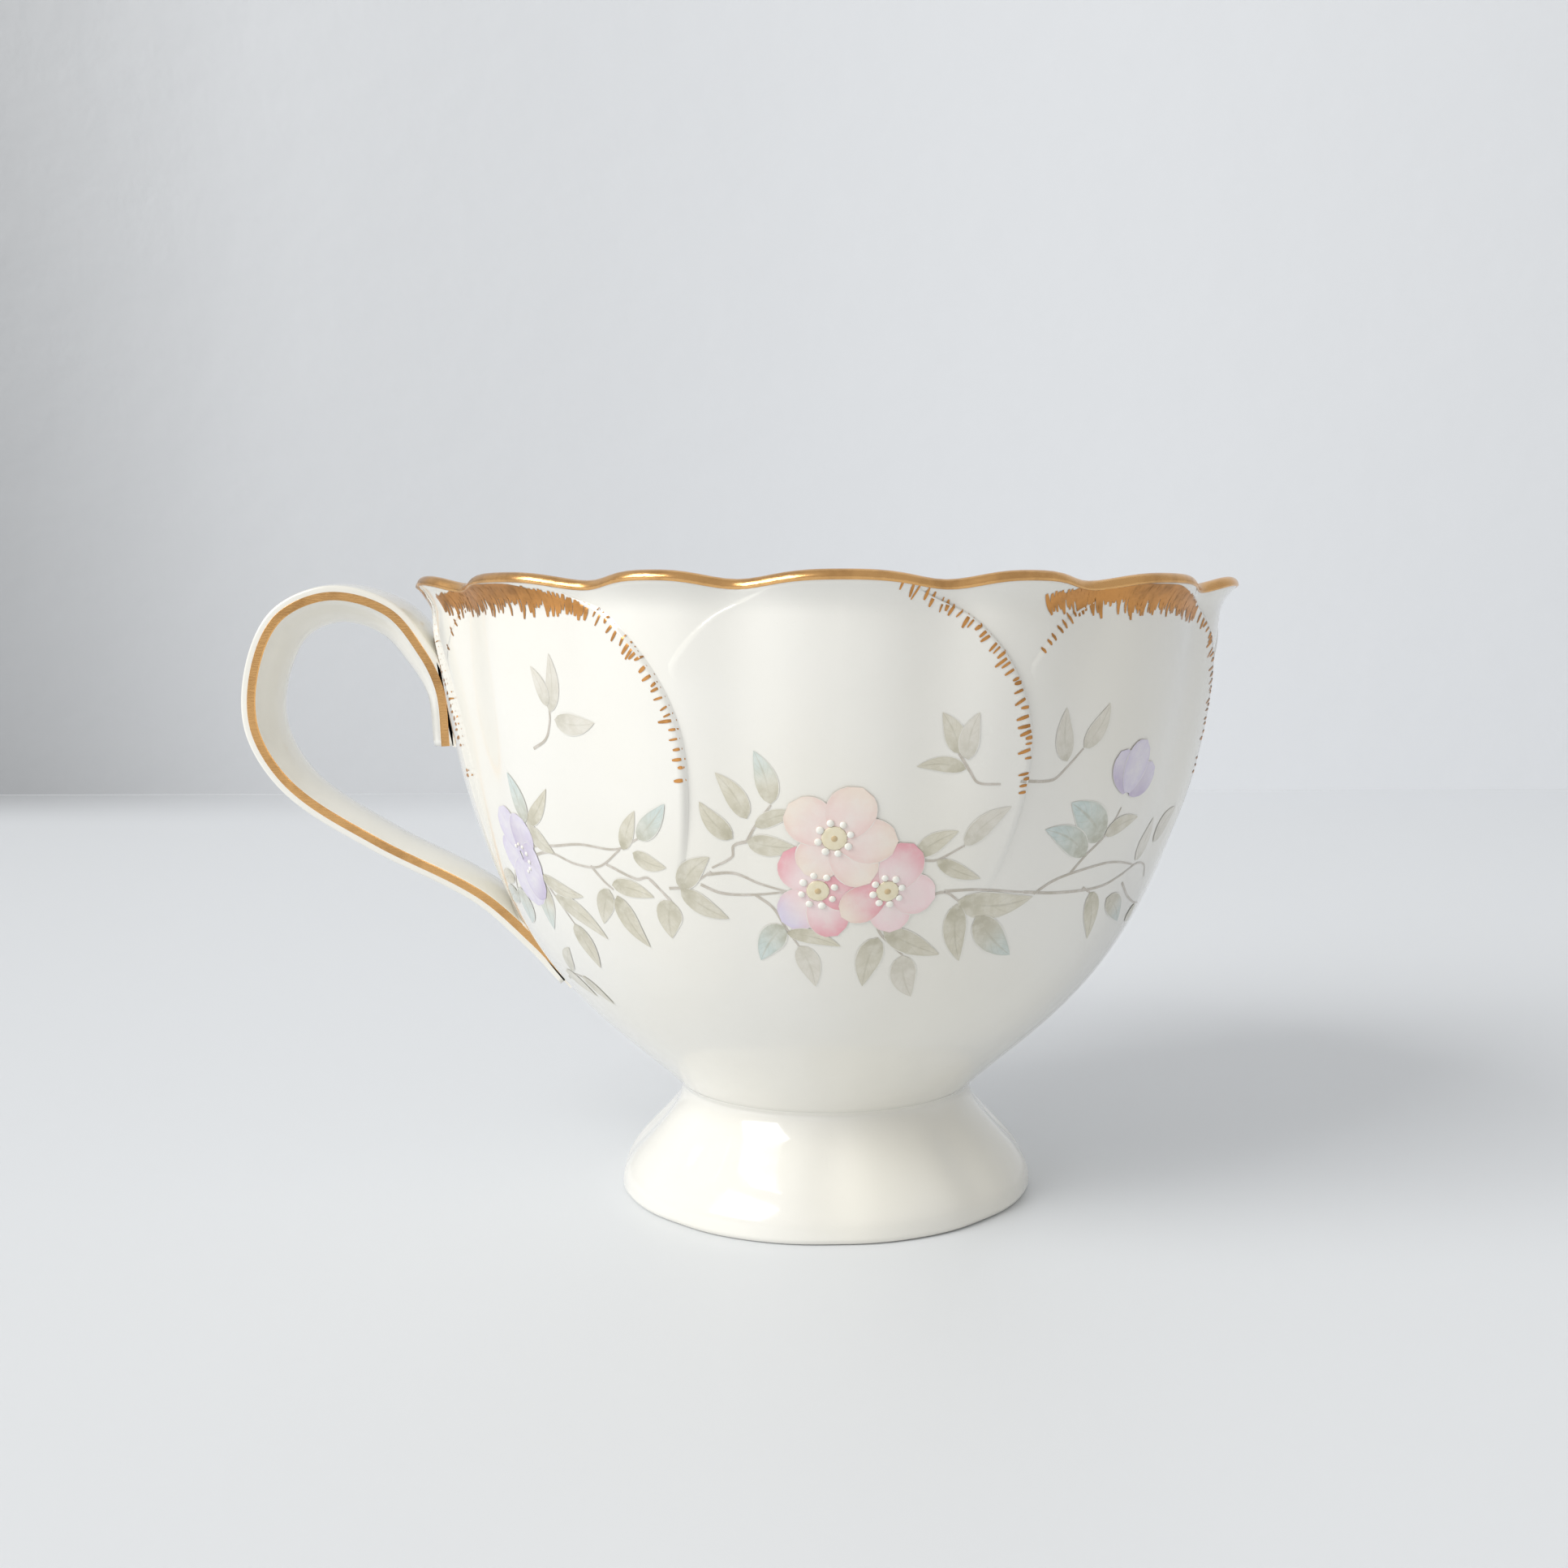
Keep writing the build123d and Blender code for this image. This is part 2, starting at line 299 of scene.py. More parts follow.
    def petal_stand(self, column, offset, height, radius, edges):
        """How far a petal of the relief stands out of the wall."""
        size = self.size
        under_lip = 1 - smooth_share(*LIP_FADE, height)
        if column <= EDGE_COLUMN:
            inward = (edges[1][1] - offset) * radius
            fade = smooth_share(*EDGE_GROWS, height) * under_lip
            return size.petal_edge * fade * exp(-inward / EDGE_REACH)
        if column >= CROWN_COLUMN:
            inward = (offset - edges[4][1]) * radius
            fade = smooth_share(*CROWN_GROWS, height) * under_lip
            return size.crown_edge * fade * exp(-inward / CROWN_REACH)
        return 0

    def place(self, station, column):
        """Where a station of the bowl is at a column round it."""
        petal, column = divmod(column, COLUMNS)
        even = 2 * pi / PETALS * column / COLUMNS
        edges = self.columns_at(station.height)
        for (first, near), (last, far) in zip(edges, edges[1:]):
            if first <= column <= last:
                bent = near + (far - near) * (column - first) / (last - first)
                break
        offset = even + (bent - even) * station.bend
        angle = petal * 2 * pi / PETALS + offset
        depth = scallop(angle)
        stand = 0
        if station.out is not NO_RELIEF:
            stand = self.petal_stand(column, offset, station.height, station.radius, edges)
        reach = station.radius - station.sink * depth + stand * station.out.x
        height = station.height - station.wave * depth + stand * station.out.y
        return Vector((reach * cos(angle), reach * sin(angle), height))


def spun(stations, columns, place, closed=False):
    """A skin spun round the cup's axis from a profile, one petal's arc at a time. Its vertices
    are then put where place says."""
    bm = bmesh.new()
    mark = bm.verts.layers.int.new("station")
    profile = []
    for index, station in enumerate(stations):
        vert = bm.verts.new((station.radius, 0, station.height))
        vert[mark] = index
        profile.append(vert)
    edges = [bm.edges.new(pair) for pair in zip(profile, profile[1:])]
    if closed:
        edges.append(bm.edges.new((profile[-1], profile[0])))
    arc = 2 * pi / PETALS
    bmesh.ops.spin(
        bm, geom=profile + edges, axis=(0, 0, 1), cent=(0, 0, 0), steps=columns // PETALS, angle=arc
    )
    first = bm.verts[:] + bm.edges[:] + bm.faces[:]
    for petal in range(1, PETALS):
        copied = bmesh.ops.duplicate(bm, geom=first)["geom"]
        verts = [item for item in copied if isinstance(item, bmesh.types.BMVert)]
        bmesh.ops.rotate(bm, verts=verts, cent=(0, 0, 0), matrix=Matrix.Rotation(arc * petal, 3, "Z"))
    for vert in bm.verts:
        if hypot(vert.co.x, vert.co.y) > 0.01 * MM:
            turn = atan2(vert.co.y, vert.co.x) % (2 * pi)
            vert.co = place(stations[vert[mark]], round(turn / (2 * pi) * columns) % columns)
    bmesh.ops.remove_doubles(bm, verts=bm.verts, dist=0.0001 * MM)
    bmesh.ops.recalc_face_normals(bm, faces=bm.faces)
    return bm


def smooth_line(points, steps):
    """Points along a smooth line through the given ones, which may have two or three numbers."""
    points = [Vector(point) for point in points]
    line = [points[0]]
    for index in range(len(points) - 1):
        before = points[max(0, index - 1)]
        start, end = points[index], points[index + 1]
        after = points[min(len(points) - 1, index + 2)]
        span = (end - start).length
        near_span, far_span = (start - before).length, (after - end).length
        leave = (end - before) * span / max(1e-9, span + near_span)
        arrive = (after - start) * span / max(1e-9, span + far_span)
        line += interpolate_bezier(start, start + leave / 3, end - arrive / 3, end, steps + 1)[1:]
    return line


# ---------------------------------------------------------------- materials


class Nodes:
    """Short ways to add nodes to a material or a group."""

    def __init__(self, tree):
        self.tree = tree

    def add(self, kind, inputs=(), **settings):
        """A node of a kind, with its settings and what its inputs hold or come from."""
        node = self.tree.nodes.new(kind)
        for name, value in settings.items():
            setattr(node, name, value)
        for name, value in dict(inputs).items():
            if isinstance(value, bpy.types.NodeSocket):
                self.tree.links.new(value, node.inputs[name])
            else:
                node.inputs[name].default_value = value
        return node

    def math(self, operation, first, second=0.0, clamp=False):
        """The result of a sum or a function of two numbers."""
        node = self.add("ShaderNodeMath", {0: first, 1: second}, operation=operation, use_clamp=clamp)
        return node.outputs[0]

    def times(self, first, second):
        """The product of two numbers."""
        return self.math("MULTIPLY", first, second)

    def mix(self, share, first, second):
        """A colour between two."""
        node = self.add("ShaderNodeMix", data_type="RGBA")
        for socket, value in zip((node.inputs[0], node.inputs[6], node.inputs[7]), (share, first, second)):
            if isinstance(value, bpy.types.NodeSocket):
                self.tree.links.new(value, socket)
            else:
                socket.default_value = value
        return node.outputs[2]

    def rise(self, value, low, high, start=0.0, end=1.0):
        """A smooth step of a value from start to end."""
        node = self.add(
            "ShaderNodeMapRange",
            {"Value": value, "From Min": low, "From Max": high, "To Min": start, "To Max": end},
            interpolation_type="SMOOTHSTEP",
        )
        return node.outputs[0]

    def noise(self, scale, detail=2.0, rough=0.5, vector=None):
        """Noise in the piece's own space."""
        if vector is None:
            vector = self.add("ShaderNodeTexCoord").outputs["Object"]
        node = self.add(
            "ShaderNodeTexNoise",
            {"Vector": vector, "Scale": scale, "Detail": detail, "Roughness": rough},
        )
        return node.outputs[0]


def rgba(value):
    """A colour with full cover."""
    return (*value, 1)


def make_group(name, inputs, outputs, fill):
    """A node group with named sockets, made once. fill gets its nodes and its inputs, and
    returns its outputs."""
    if name in bpy.data.node_groups:
        return bpy.data.node_groups[name]
    group = bpy.data.node_groups.new(name, "ShaderNodeTree")
    for socket, kind, value in inputs:
        made = group.interface.new_socket(socket, in_out="INPUT", socket_type=kind)
        made.default_value = value
    for socket, kind in outputs:
        group.interface.new_socket(socket, in_out="OUTPUT", socket_type=kind)
    nodes = Nodes(group)
    source = nodes.add("NodeGroupInput").outputs
    results = fill(nodes, {socket: source[socket] for socket, _, _ in inputs})
    nodes.add("NodeGroupOutput", results)
    return group


def glaze_group():
    """Pooled glaze: a soft change of tone, and the slight waves of its surface."""

    def fill(nodes, given):
        pooled = nodes.noise(given["Pool Scale"], 2.0, 0.45)
        tone = nodes.rise(pooled, 0.35, 0.68)
        warm = nodes.mix(nodes.times(tone, given["Pool Strength"]), given["Colour"], given["Shade"])
        fine = nodes.noise(given["Wave Scale"], 1.0, 0.4)
        pinholes = nodes.rise(nodes.noise(2600.0, 0.0), 0.78, 0.84)
        waves = nodes.math("SUBTRACT", fine, nodes.times(pinholes, 0.4))
        return {"Colour": warm, "Waves": waves}

    return make_group(
        "pooled_glaze",
        [
            ("Colour", "NodeSocketColor", (0.9, 0.87, 0.8, 1)),
            ("Shade", "NodeSocketColor", (0.85, 0.8, 0.7, 1)),
            ("Pool Scale", "NodeSocketFloat", 40.0),
            ("Pool Strength", "NodeSocketFloat", 0.4),
            ("Wave Scale", "NodeSocketFloat", 220.0),
        ],
        [("Colour", "NodeSocketColor"), ("Waves", "NodeSocketFloat")],
        fill,
    )


def brush_group():
    """Brushed paint: veins, an outline and a patchy wash, on a stroke's along and across."""

    def fill(nodes, given):
        stroke = nodes.add("ShaderNodeUVMap", uv_map="stroke").outputs[0]
        parts = nodes.add("ShaderNodeSeparateXYZ", {0: stroke})
        along, across = parts.outputs[0], parts.outputs[1]
        aside = nodes.math("ABSOLUTE", nodes.math("SUBTRACT", nodes.times(across, 2.0), 1.0))
        midrib = nodes.rise(aside, 0.02, 0.16, 1.0, 0.0)
        lean = nodes.math("SUBTRACT", nodes.times(along, 7.0), nodes.times(aside, 1.9))
        ribs = nodes.rise(nodes.math("SINE", nodes.times(lean, 2 * pi)), 0.72, 1.0, 0.0, 0.45)
        veins = nodes.times(nodes.math("MAXIMUM", midrib, ribs), given["Veins"])
        outline = nodes.times(nodes.rise(aside, 0.66, 0.93), given["Outline"])
        base = nodes.times(nodes.rise(along, 0.0, 0.62, 1.0, 0.0), given["Base"])
        wash = nodes.noise(given["Wash Scale"], 3.0, 0.6)
        streaks = nodes.times(nodes.rise(wash, 0.35, 0.7), given["Streaks"])
        dark = nodes.math("MAXIMUM", nodes.math("MAXIMUM", veins, outline), nodes.times(base, wash))
        paint = nodes.mix(nodes.math("ADD", dark, streaks, clamp=True), given["Paint"], given["Shade"])
        ragged = nodes.math("ADD", aside, nodes.times(nodes.math("SUBTRACT", wash, 0.5), 0.16))
        cover = nodes.times(nodes.rise(ragged, given["Fade From"], 1.0, 1.0, 0.0), given["Cover"])
        thin = nodes.times(cover, nodes.rise(wash, 0.25, 0.6, 0.72, 1.0))
        return {"Paint": paint, "Cover": thin}

    return make_group(
        "brushed_paint",
        [
            ("Paint", "NodeSocketColor", (0.5, 0.5, 0.4, 1)),
            ("Shade", "NodeSocketColor", (0.2, 0.2, 0.1, 1)),
            ("Veins", "NodeSocketFloat", 0.5),
            ("Outline", "NodeSocketFloat", 0.4),
            ("Base", "NodeSocketFloat", 0.5),
            ("Streaks", "NodeSocketFloat", 0.15),
            ("Wash Scale", "NodeSocketFloat", 900.0),
            ("Cover", "NodeSocketFloat", 0.9),
            ("Fade From", "NodeSocketFloat", 0.9),
        ],
        [("Paint", "NodeSocketColor"), ("Cover", "NodeSocketFloat")],
        fill,
    )


def wear_group():
    """Burnished metal: brush lines, thin spots and a soft change of polish."""

    def fill(nodes, given):
        object_space = nodes.add("ShaderNodeTexCoord").outputs["Object"]
        drawn = nodes.add("ShaderNodeMapping", {"Vector": object_space, "Scale": (1, 1, 5)}).outputs[0]
        lines = nodes.noise(given["Line Scale"], 2.0, 0.6, drawn)
        spots = nodes.rise(nodes.noise(given["Spot Scale"], 3.0, 0.65), 0.42, 0.74)
        worn = nodes.times(spots, given["Wear"])
        gold = nodes.mix(worn, given["Metal"], given["Deep"])
        polish = nodes.math("ADD", given["Roughness"], nodes.times(lines, 0.14))
        return {"Metal": gold, "Roughness": polish, "Lines": lines}

    return make_group(
        "burnished",
        [
            ("Metal", "NodeSocketColor", (0.8, 0.5, 0.2, 1)),
            ("Deep", "NodeSocketColor", (0.4, 0.2, 0.1, 1)),
            ("Wear", "NodeSocketFloat", 0.5),
            ("Roughness", "NodeSocketFloat", 0.2),
            ("Line Scale", "NodeSocketFloat", 900.0),
            ("Spot Scale", "NodeSocketFloat", 260.0),
        ],
        [("Metal", "NodeSocketColor"), ("Roughness", "NodeSocketFloat"), ("Lines", "NodeSocketFloat")],
        fill,
    )


def new_material(name, **shader):
    """A material, its nodes and its shader, with the shader's own constants set."""
    material = bpy.data.materials.new(name)
    material.use_nodes = True
    nodes = Nodes(material.node_tree)
    principled = next(node for node in material.node_tree.nodes if node.type == "BSDF_PRINCIPLED")
    for socket, value in shader.items():
        principled.inputs[socket.replace("_", " ")].default_value = value
    return material, nodes, principled


def bumped(nodes, principled, height, strength, distance):
    """Feeds a height to the shader's normal."""
    bump = nodes.add("ShaderNodeBump", {"Height": height, "Strength": strength, "Distance": distance})
    nodes.tree.links.new(bump.outputs[0], principled.inputs["Normal"])


CHINA_SHINE = {"Roughness": 0.13, "Coat_Weight": 0.55, "Coat_Roughness": 0.03, "IOR": 1.5}


def china_glaze(nodes, colours):
    """The china's pooled glaze, as its colour and its waves."""
    shade = tuple(channel * factor for channel, factor in zip(colours.china, (0.97, 0.955, 0.91)))
    look = {"Colour": rgba(colours.china), "Shade": rgba(shade), "Pool Scale": 38.0, "Pool Strength": 0.6}
    return nodes.add("ShaderNodeGroup", look, node_tree=glaze_group()).outputs


def china_material(colours):
    """Glossy ivory glaze over bone china, made once."""
    if "glazed_china" in bpy.data.materials:
        return bpy.data.materials["glazed_china"]
    material, nodes, principled = new_material("glazed_china", **CHINA_SHINE)
    glaze = china_glaze(nodes, colours)
    nodes.tree.links.new(glaze["Colour"], principled.inputs["Base Color"])
    bumped(nodes, principled, glaze["Waves"], 0.10, 0.0006)
    return material


def slip_material(colours):
    """Dry, slightly grainy slip."""
    material, nodes, principled = new_material("dry_slip", Roughness=0.7)
    grain = nodes.noise(3000.0, 3.0)
    pale = tuple(min(1, channel * 1.12) for channel in colours.slip)
    tone = nodes.mix(nodes.rise(grain, 0.3, 0.7), rgba(colours.slip), rgba(pale))
    nodes.tree.links.new(tone, principled.inputs["Base Color"])
    bumped(nodes, principled, grain, 0.4, 0.00005)
    return material


def gold_material(colours, name, metal, wear, roughness):
    """Gold film with brush lines and thin spots."""
    material, nodes, principled = new_material(name, Metallic=1.0, Coat_Weight=0.15, Coat_Roughness=0.1)
    look = {
        "Metal": rgba(metal),
        "Deep": rgba(colours.gold_deep),
        "Wear": wear,
        "Roughness": roughness,
    }
    film = nodes.add("ShaderNodeGroup", look, node_tree=wear_group()).outputs
    nodes.tree.links.new(film["Metal"], principled.inputs["Base Color"])
    nodes.tree.links.new(film["Roughness"], principled.inputs["Roughness"])
    bumped(nodes, principled, film["Lines"], 0.25, 0.00008)
    return material


def burnished_gold(colours):
    """The bright gold of the lip and the handle, made once."""
    if "burnished_gold" in bpy.data.materials:
        return bpy.data.materials["burnished_gold"]
    return gold_material(colours, "burnished_gold", colours.gold, wear=0.45, roughness=0.17)


def paint_material(colours, name, shade, **brush):
    """Print paint under the glaze: it takes its colour from the strokes and fades into the china."""
    material, nodes, principled = new_material(name, **CHINA_SHINE)
    glaze = china_glaze(nodes, colours)
    paint = nodes.add("ShaderNodeAttribute", attribute_name="paint")
    look = {"Paint": paint.outputs["Color"], "Shade": rgba(shade)}
    look.update({key.replace("_", " "): value for key, value in brush.items()})
    stroke = nodes.add("ShaderNodeGroup", look, node_tree=brush_group()).outputs
    cover = nodes.times(stroke["Cover"], paint.outputs["Alpha"])
    tone = nodes.mix(cover, glaze["Colour"], stroke["Paint"])
    nodes.tree.links.new(tone, principled.inputs["Base Color"])
    bumped(nodes, principled, glaze["Waves"], 0.10, 0.0006)
    return material


def enamel_material(colours):
    """Raised enamel dots, a little uneven."""
    material, nodes, principled = new_material("raised_enamel", Roughness=0.22, Coat_Weight=0.3)
    paint = nodes.add("ShaderNodeAttribute", attribute_name="paint")
    grain = nodes.noise(1800.0, 2.0)
    dark = nodes.add("ShaderNodeMix", data_type="RGBA", blend_type="MULTIPLY")
    nodes.tree.links.new(nodes.rise(grain, 0.35, 0.75, 0.0, 0.35), dark.inputs[0])
    nodes.tree.links.new(paint.outputs["Color"], dark.inputs[6])
    dark.inputs[7].default_value = (0.86, 0.80, 0.66, 1)
    nodes.tree.links.new(dark.outputs[2], principled.inputs["Base Color"])
    bumped(nodes, principled, grain, 0.3, 0.00005)
    return material


def piece(name, bm, material, replaced=()):
    """A finished piece of the cup from a bmesh: smooth, painted, riding on the cup."""
    mesh = bpy.data.meshes.new(name)
    bm.to_mesh(mesh)
    bm.free()
    mesh.shade_smooth()
    mesh.materials.append(material)
    made = bpy.data.objects.new(name, mesh)
    bpy.context.scene.collection.objects.link(made)
    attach(made, "root")
    if replaced:
        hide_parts(*replaced)
    return made


def settings():
    """The sizes and the colours in use."""
    scene = bpy.context.scene
    return scene.teacup_sizes, scene.teacup_colours


# ---------------------------------------------------------------- the china


class TEACUP_OT_bowl(bpy.types.Operator):
    """Spins the scalloped bowl with its overlapping petals in relief"""

    bl_idname = "teacup.bowl"
    bl_label = "Bowl"

    def execute(self, context):
        size, colours = settings()
        cup = Cup(size)
        bm = spun(cup.bowl_stations(), PETALS * COLUMNS, cup.place)
        piece("china_bowl", bm, china_material(colours), ["bowl"])
        return {"FINISHED"}


FOOT_COLUMNS = 480
FOOT_EDGE = 0.8 * MM          # rounding at the foot's outer edge
FOOT_REST = 2.0 * MM          # width of the ring that stands on the table
FOOT_WALL = 2.9 * MM          # thickness of the foot at the neck
FILLET = 0.9 * MM             # how far the glaze at the neck runs out under the bowl
FILLET_OUT = 0.22 * MM        # how far it fills the neck's corner, outward
FILLET_DOWN = 0.1 * MM        # and downward
# Foot: share of its height, share of its spread, share of the grooves' depth.
FOOT_FLARE = [(0.2, 0.97, 0.6), (0.35, 0.82, 0.9), (0.5, 0.6, 1), (0.65, 0.37, 0.9), (0.82, 0.14, 0.5)]


class TEACUP_OT_foot(bpy.types.Operator):
    """Spins the flared foot with its lobes and its hollow"""

    bl_idname = "teacup.foot"
    bl_label = "Foot"

    def execute(self, context):
        size, colours = settings()
        neck, top, spread = size.neck_radius, size.neck_height, size.foot_radius
        outside = []
        for turn in (pi / 2, pi / 3, pi / 6, 0):
            radius, height = spread - FOOT_EDGE * (1 - cos(turn)), FOOT_EDGE * (1 - sin(turn))
            outside.append((radius, height, size.foot_groove / 3))
        for climb, flare, depth in FOOT_FLARE:
            outside.append((neck + (spread - neck) * flare, top * climb, size.foot_groove * depth))
        outside.append((neck + FILLET_OUT, top - FILLET_DOWN, 0))
        outside.append((neck + FILLET * NECK_SLOPE.x, top + FILLET * NECK_SLOPE.y, 0))
        bore, ring_bore, swell = neck - FOOT_WALL, spread - FOOT_EDGE - FOOT_REST, 1.6 * MM
        inside = interpolate_bezier(
            Vector((bore, top)),
            Vector((bore + swell, top * 0.55)),
            Vector((ring_bore - swell, top * 0.35)),
            Vector((ring_bore, 0)),
            14,
        )
        stations = [Station(point.x, point.y, point.z) for point in smooth_line(outside, 5)]
        stations += [Station(point.x, point.y) for point in inside]
        stations.append(Station(ring_bore + FOOT_REST / 2, 0))

        def place(station, column):
            """Where a station of the foot is at a column round it."""
            angle = 2 * pi * column / FOOT_COLUMNS
            reach = station.radius - station.sink * lobe_groove(angle)
            return Vector((reach * cos(angle), reach * sin(angle), station.height))

        bm = spun(stations, FOOT_COLUMNS, place, closed=True)
        piece("china_foot", bm, china_material(colours), ["foot"])
        return {"FINISHED"}


# Stations of the handle, in millimetres from the tail or from the landing: out and up, and
# how far the outer side and the finger side are domed.
TAIL_STATIONS = [
    (0.35, 0.0, 0.3, 1.7),
    (0.85, 6.3, 0.3, 1.8),
    (2.8, 10.8, 0.3, 2.2),
    (6.9, 15.8, 0.3, 2.6),
    (13.6, 17.6, 0.3, 2.4),
    (19.7, 15.0, 0.4, 2.3),
    (22.7, 8.6, 0.5, 1.9),
    (22.7, 1.4, 0.5, 1.6),
]
LANDING_STATIONS = [
    (30.3, 21.7, 0.5, 1.1),
    (20.9, 15.5, 0.5, 0.8),
    (9.3, 9.4, 0.5, 0.6),
    (2.9, 3.7, 0.5, 0.3),
    (-1.0, -0.6, 0.1, 0.1),
]
TAIL_DROP = 19.2 * MM         # crests of the lip down to the handle's tail
LANDING_HEIGHT = 26.4 * MM    # table to the handle's lower landing
HANDLE_STEPS = 10             # steps between two stations


def handle_line(size):
    """The handle's stations along a smooth line: point, way along it, crown and belly."""
    cup = Cup(size)
    stations = []
    for base, group in ((size.cup_height - TAIL_DROP, TAIL_STATIONS), (LANDING_HEIGHT, LANDING_STATIONS)):
        reach = cup.wall_at(base)[0].x
        for out, up, crown, belly in group:
            stations.append((-reach - out * MM, base + up * MM, crown * MM, belly * MM))
    path = smooth_line([(x, 0, z) for x, z, _, _ in stations], HANDLE_STEPS)
    domes = [Vector((crown, belly)) for _, _, crown, belly in stations]
    line = []
    for index, point in enumerate(path):
        before, after = path[max(0, index - 1)], path[min(len(path) - 1, index + 1)]
        step, share = divmod(index / HANDLE_STEPS, 1)
        first = domes[int(step)]
        last = domes[min(len(domes) - 1, int(step) + 1)]
        line.append((point, (after - before).normalized(), first.lerp(last, share)))
    return line


def swept(line, section):
    """A closed skin drawn along the handle: section gives points (side, out) for a crown and a belly."""
    bm = bmesh.new()
    loop = [bm.verts.new() for _ in section(*line[0][2])]
    edges = [bm.edges.new((vert, loop[(index + 1) % len(loop)])) for index, vert in enumerate(loop)]
    first = loop
    for index, (point, way, domes) in enumerate(line):
        if index:
            grown = bmesh.ops.extrude_edge_only(bm, edges=edges)["geom"]
            edges = [item for item in grown if isinstance(item, bmesh.types.BMEdge)]
            new = {vert for vert in grown if isinstance(vert, bmesh.types.BMVert)}
            edges = [edge for edge in edges if edge.verts[0] in new and edge.verts[1] in new]
            loop = [
                next(edge.other_vert(vert) for edge in vert.link_edges if edge.other_vert(vert) in new)
                for vert in loop
            ]
        outward = way.cross(Vector((0, -1, 0)))
        for vert, (side, out) in zip(loop, section(*domes)):
            vert.co = point + Vector((0, -side, 0)) + outward * out
    bm.faces.new(first)
    bm.faces.new(loop)
    bmesh.ops.recalc_face_normals(bm, faces=bm.faces)
    return bm


class TEACUP_OT_handle(bpy.types.Operator):
    """Draws the D-shaped strap of the handle, and the gilding along its edges"""

    bl_idname = "teacup.handle"
    bl_label = "Handle"

    def execute(self, context):
        size, colours = settings()
        line = handle_line(size)
        half, edge = size.handle_width / 2, size.handle_edge / 2
        corner, steps = 0.3 * MM, 10

        def strap(crown, belly):
            """The strap's section: two domed faces and two flat edges with rounded corners."""
            points = []
            for sign, dome in ((1, crown), (-1, belly)):
                flat = half - corner
                for step in range(steps + 1):
                    side = sign * flat * (2 * step / steps - 1)
                    points.append((side, sign * (edge + dome * (1 - (side / flat) ** 2))))
                for turn in (pi / 6, pi / 3, pi / 2):
                    side = sign * (flat + corner * sin(turn))
                    points.append((side, sign * (edge - corner * (1 - cos(turn)))))
                points += [(sign * half, -sign * (edge - corner))]
                for turn in (pi / 3, pi / 6):
                    side = sign * (flat + corner * sin(turn))
                    points.append((side, -sign * (edge - corner * (1 - cos(turn)))))
            return points

        piece("china_handle", swept(line, strap), china_material(colours), ["handle"])
        gold = burnished_gold(colours)
        near, far = half - 0.05 * MM, half + size.film
        inset, bevel = 0.3 * MM, 0.1 * MM
        low = -inset - size.handle_band / 2
        high = low + size.handle_band
        for name, sign in (("front", 1), ("rear", -1)):

            def band(crown, belly):
                """The gilding's section on one edge face, which has no dome."""
                corners = [(near, low), (far, low + bevel), (far, high - bevel), (near, high)]
                return [(sign * side, out) for side, out in corners]

            made = piece(f"gold_handle_{name}", swept(line, band), gold, [f"handle_gilding_{name}"])
            made.data.shade_flat()
        return {"FINISHED"}


class TEACUP_OT_joints(bpy.types.Operator):
    """Gives the slip between the cast pieces its dry, grainy finish"""

    bl_idname = "teacup.joints"
    bl_label = "Slip joints"

    def execute(self, context):
        slip = slip_material(settings()[1])
        for name in ("foot_joint", "upper_handle_joint", "lower_handle_joint"):
            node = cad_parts[name]
            node.data.materials.clear()
            node.data.materials.append(slip)
        return {"FINISHED"}


# ---------------------------------------------------------------- strokes on the china

CLEAR_RADIUS = 70 * MM        # well outside the bowl, where its surface is looked for
FINEST_STROKE = 0.02 * MM     # width of a stroke's points


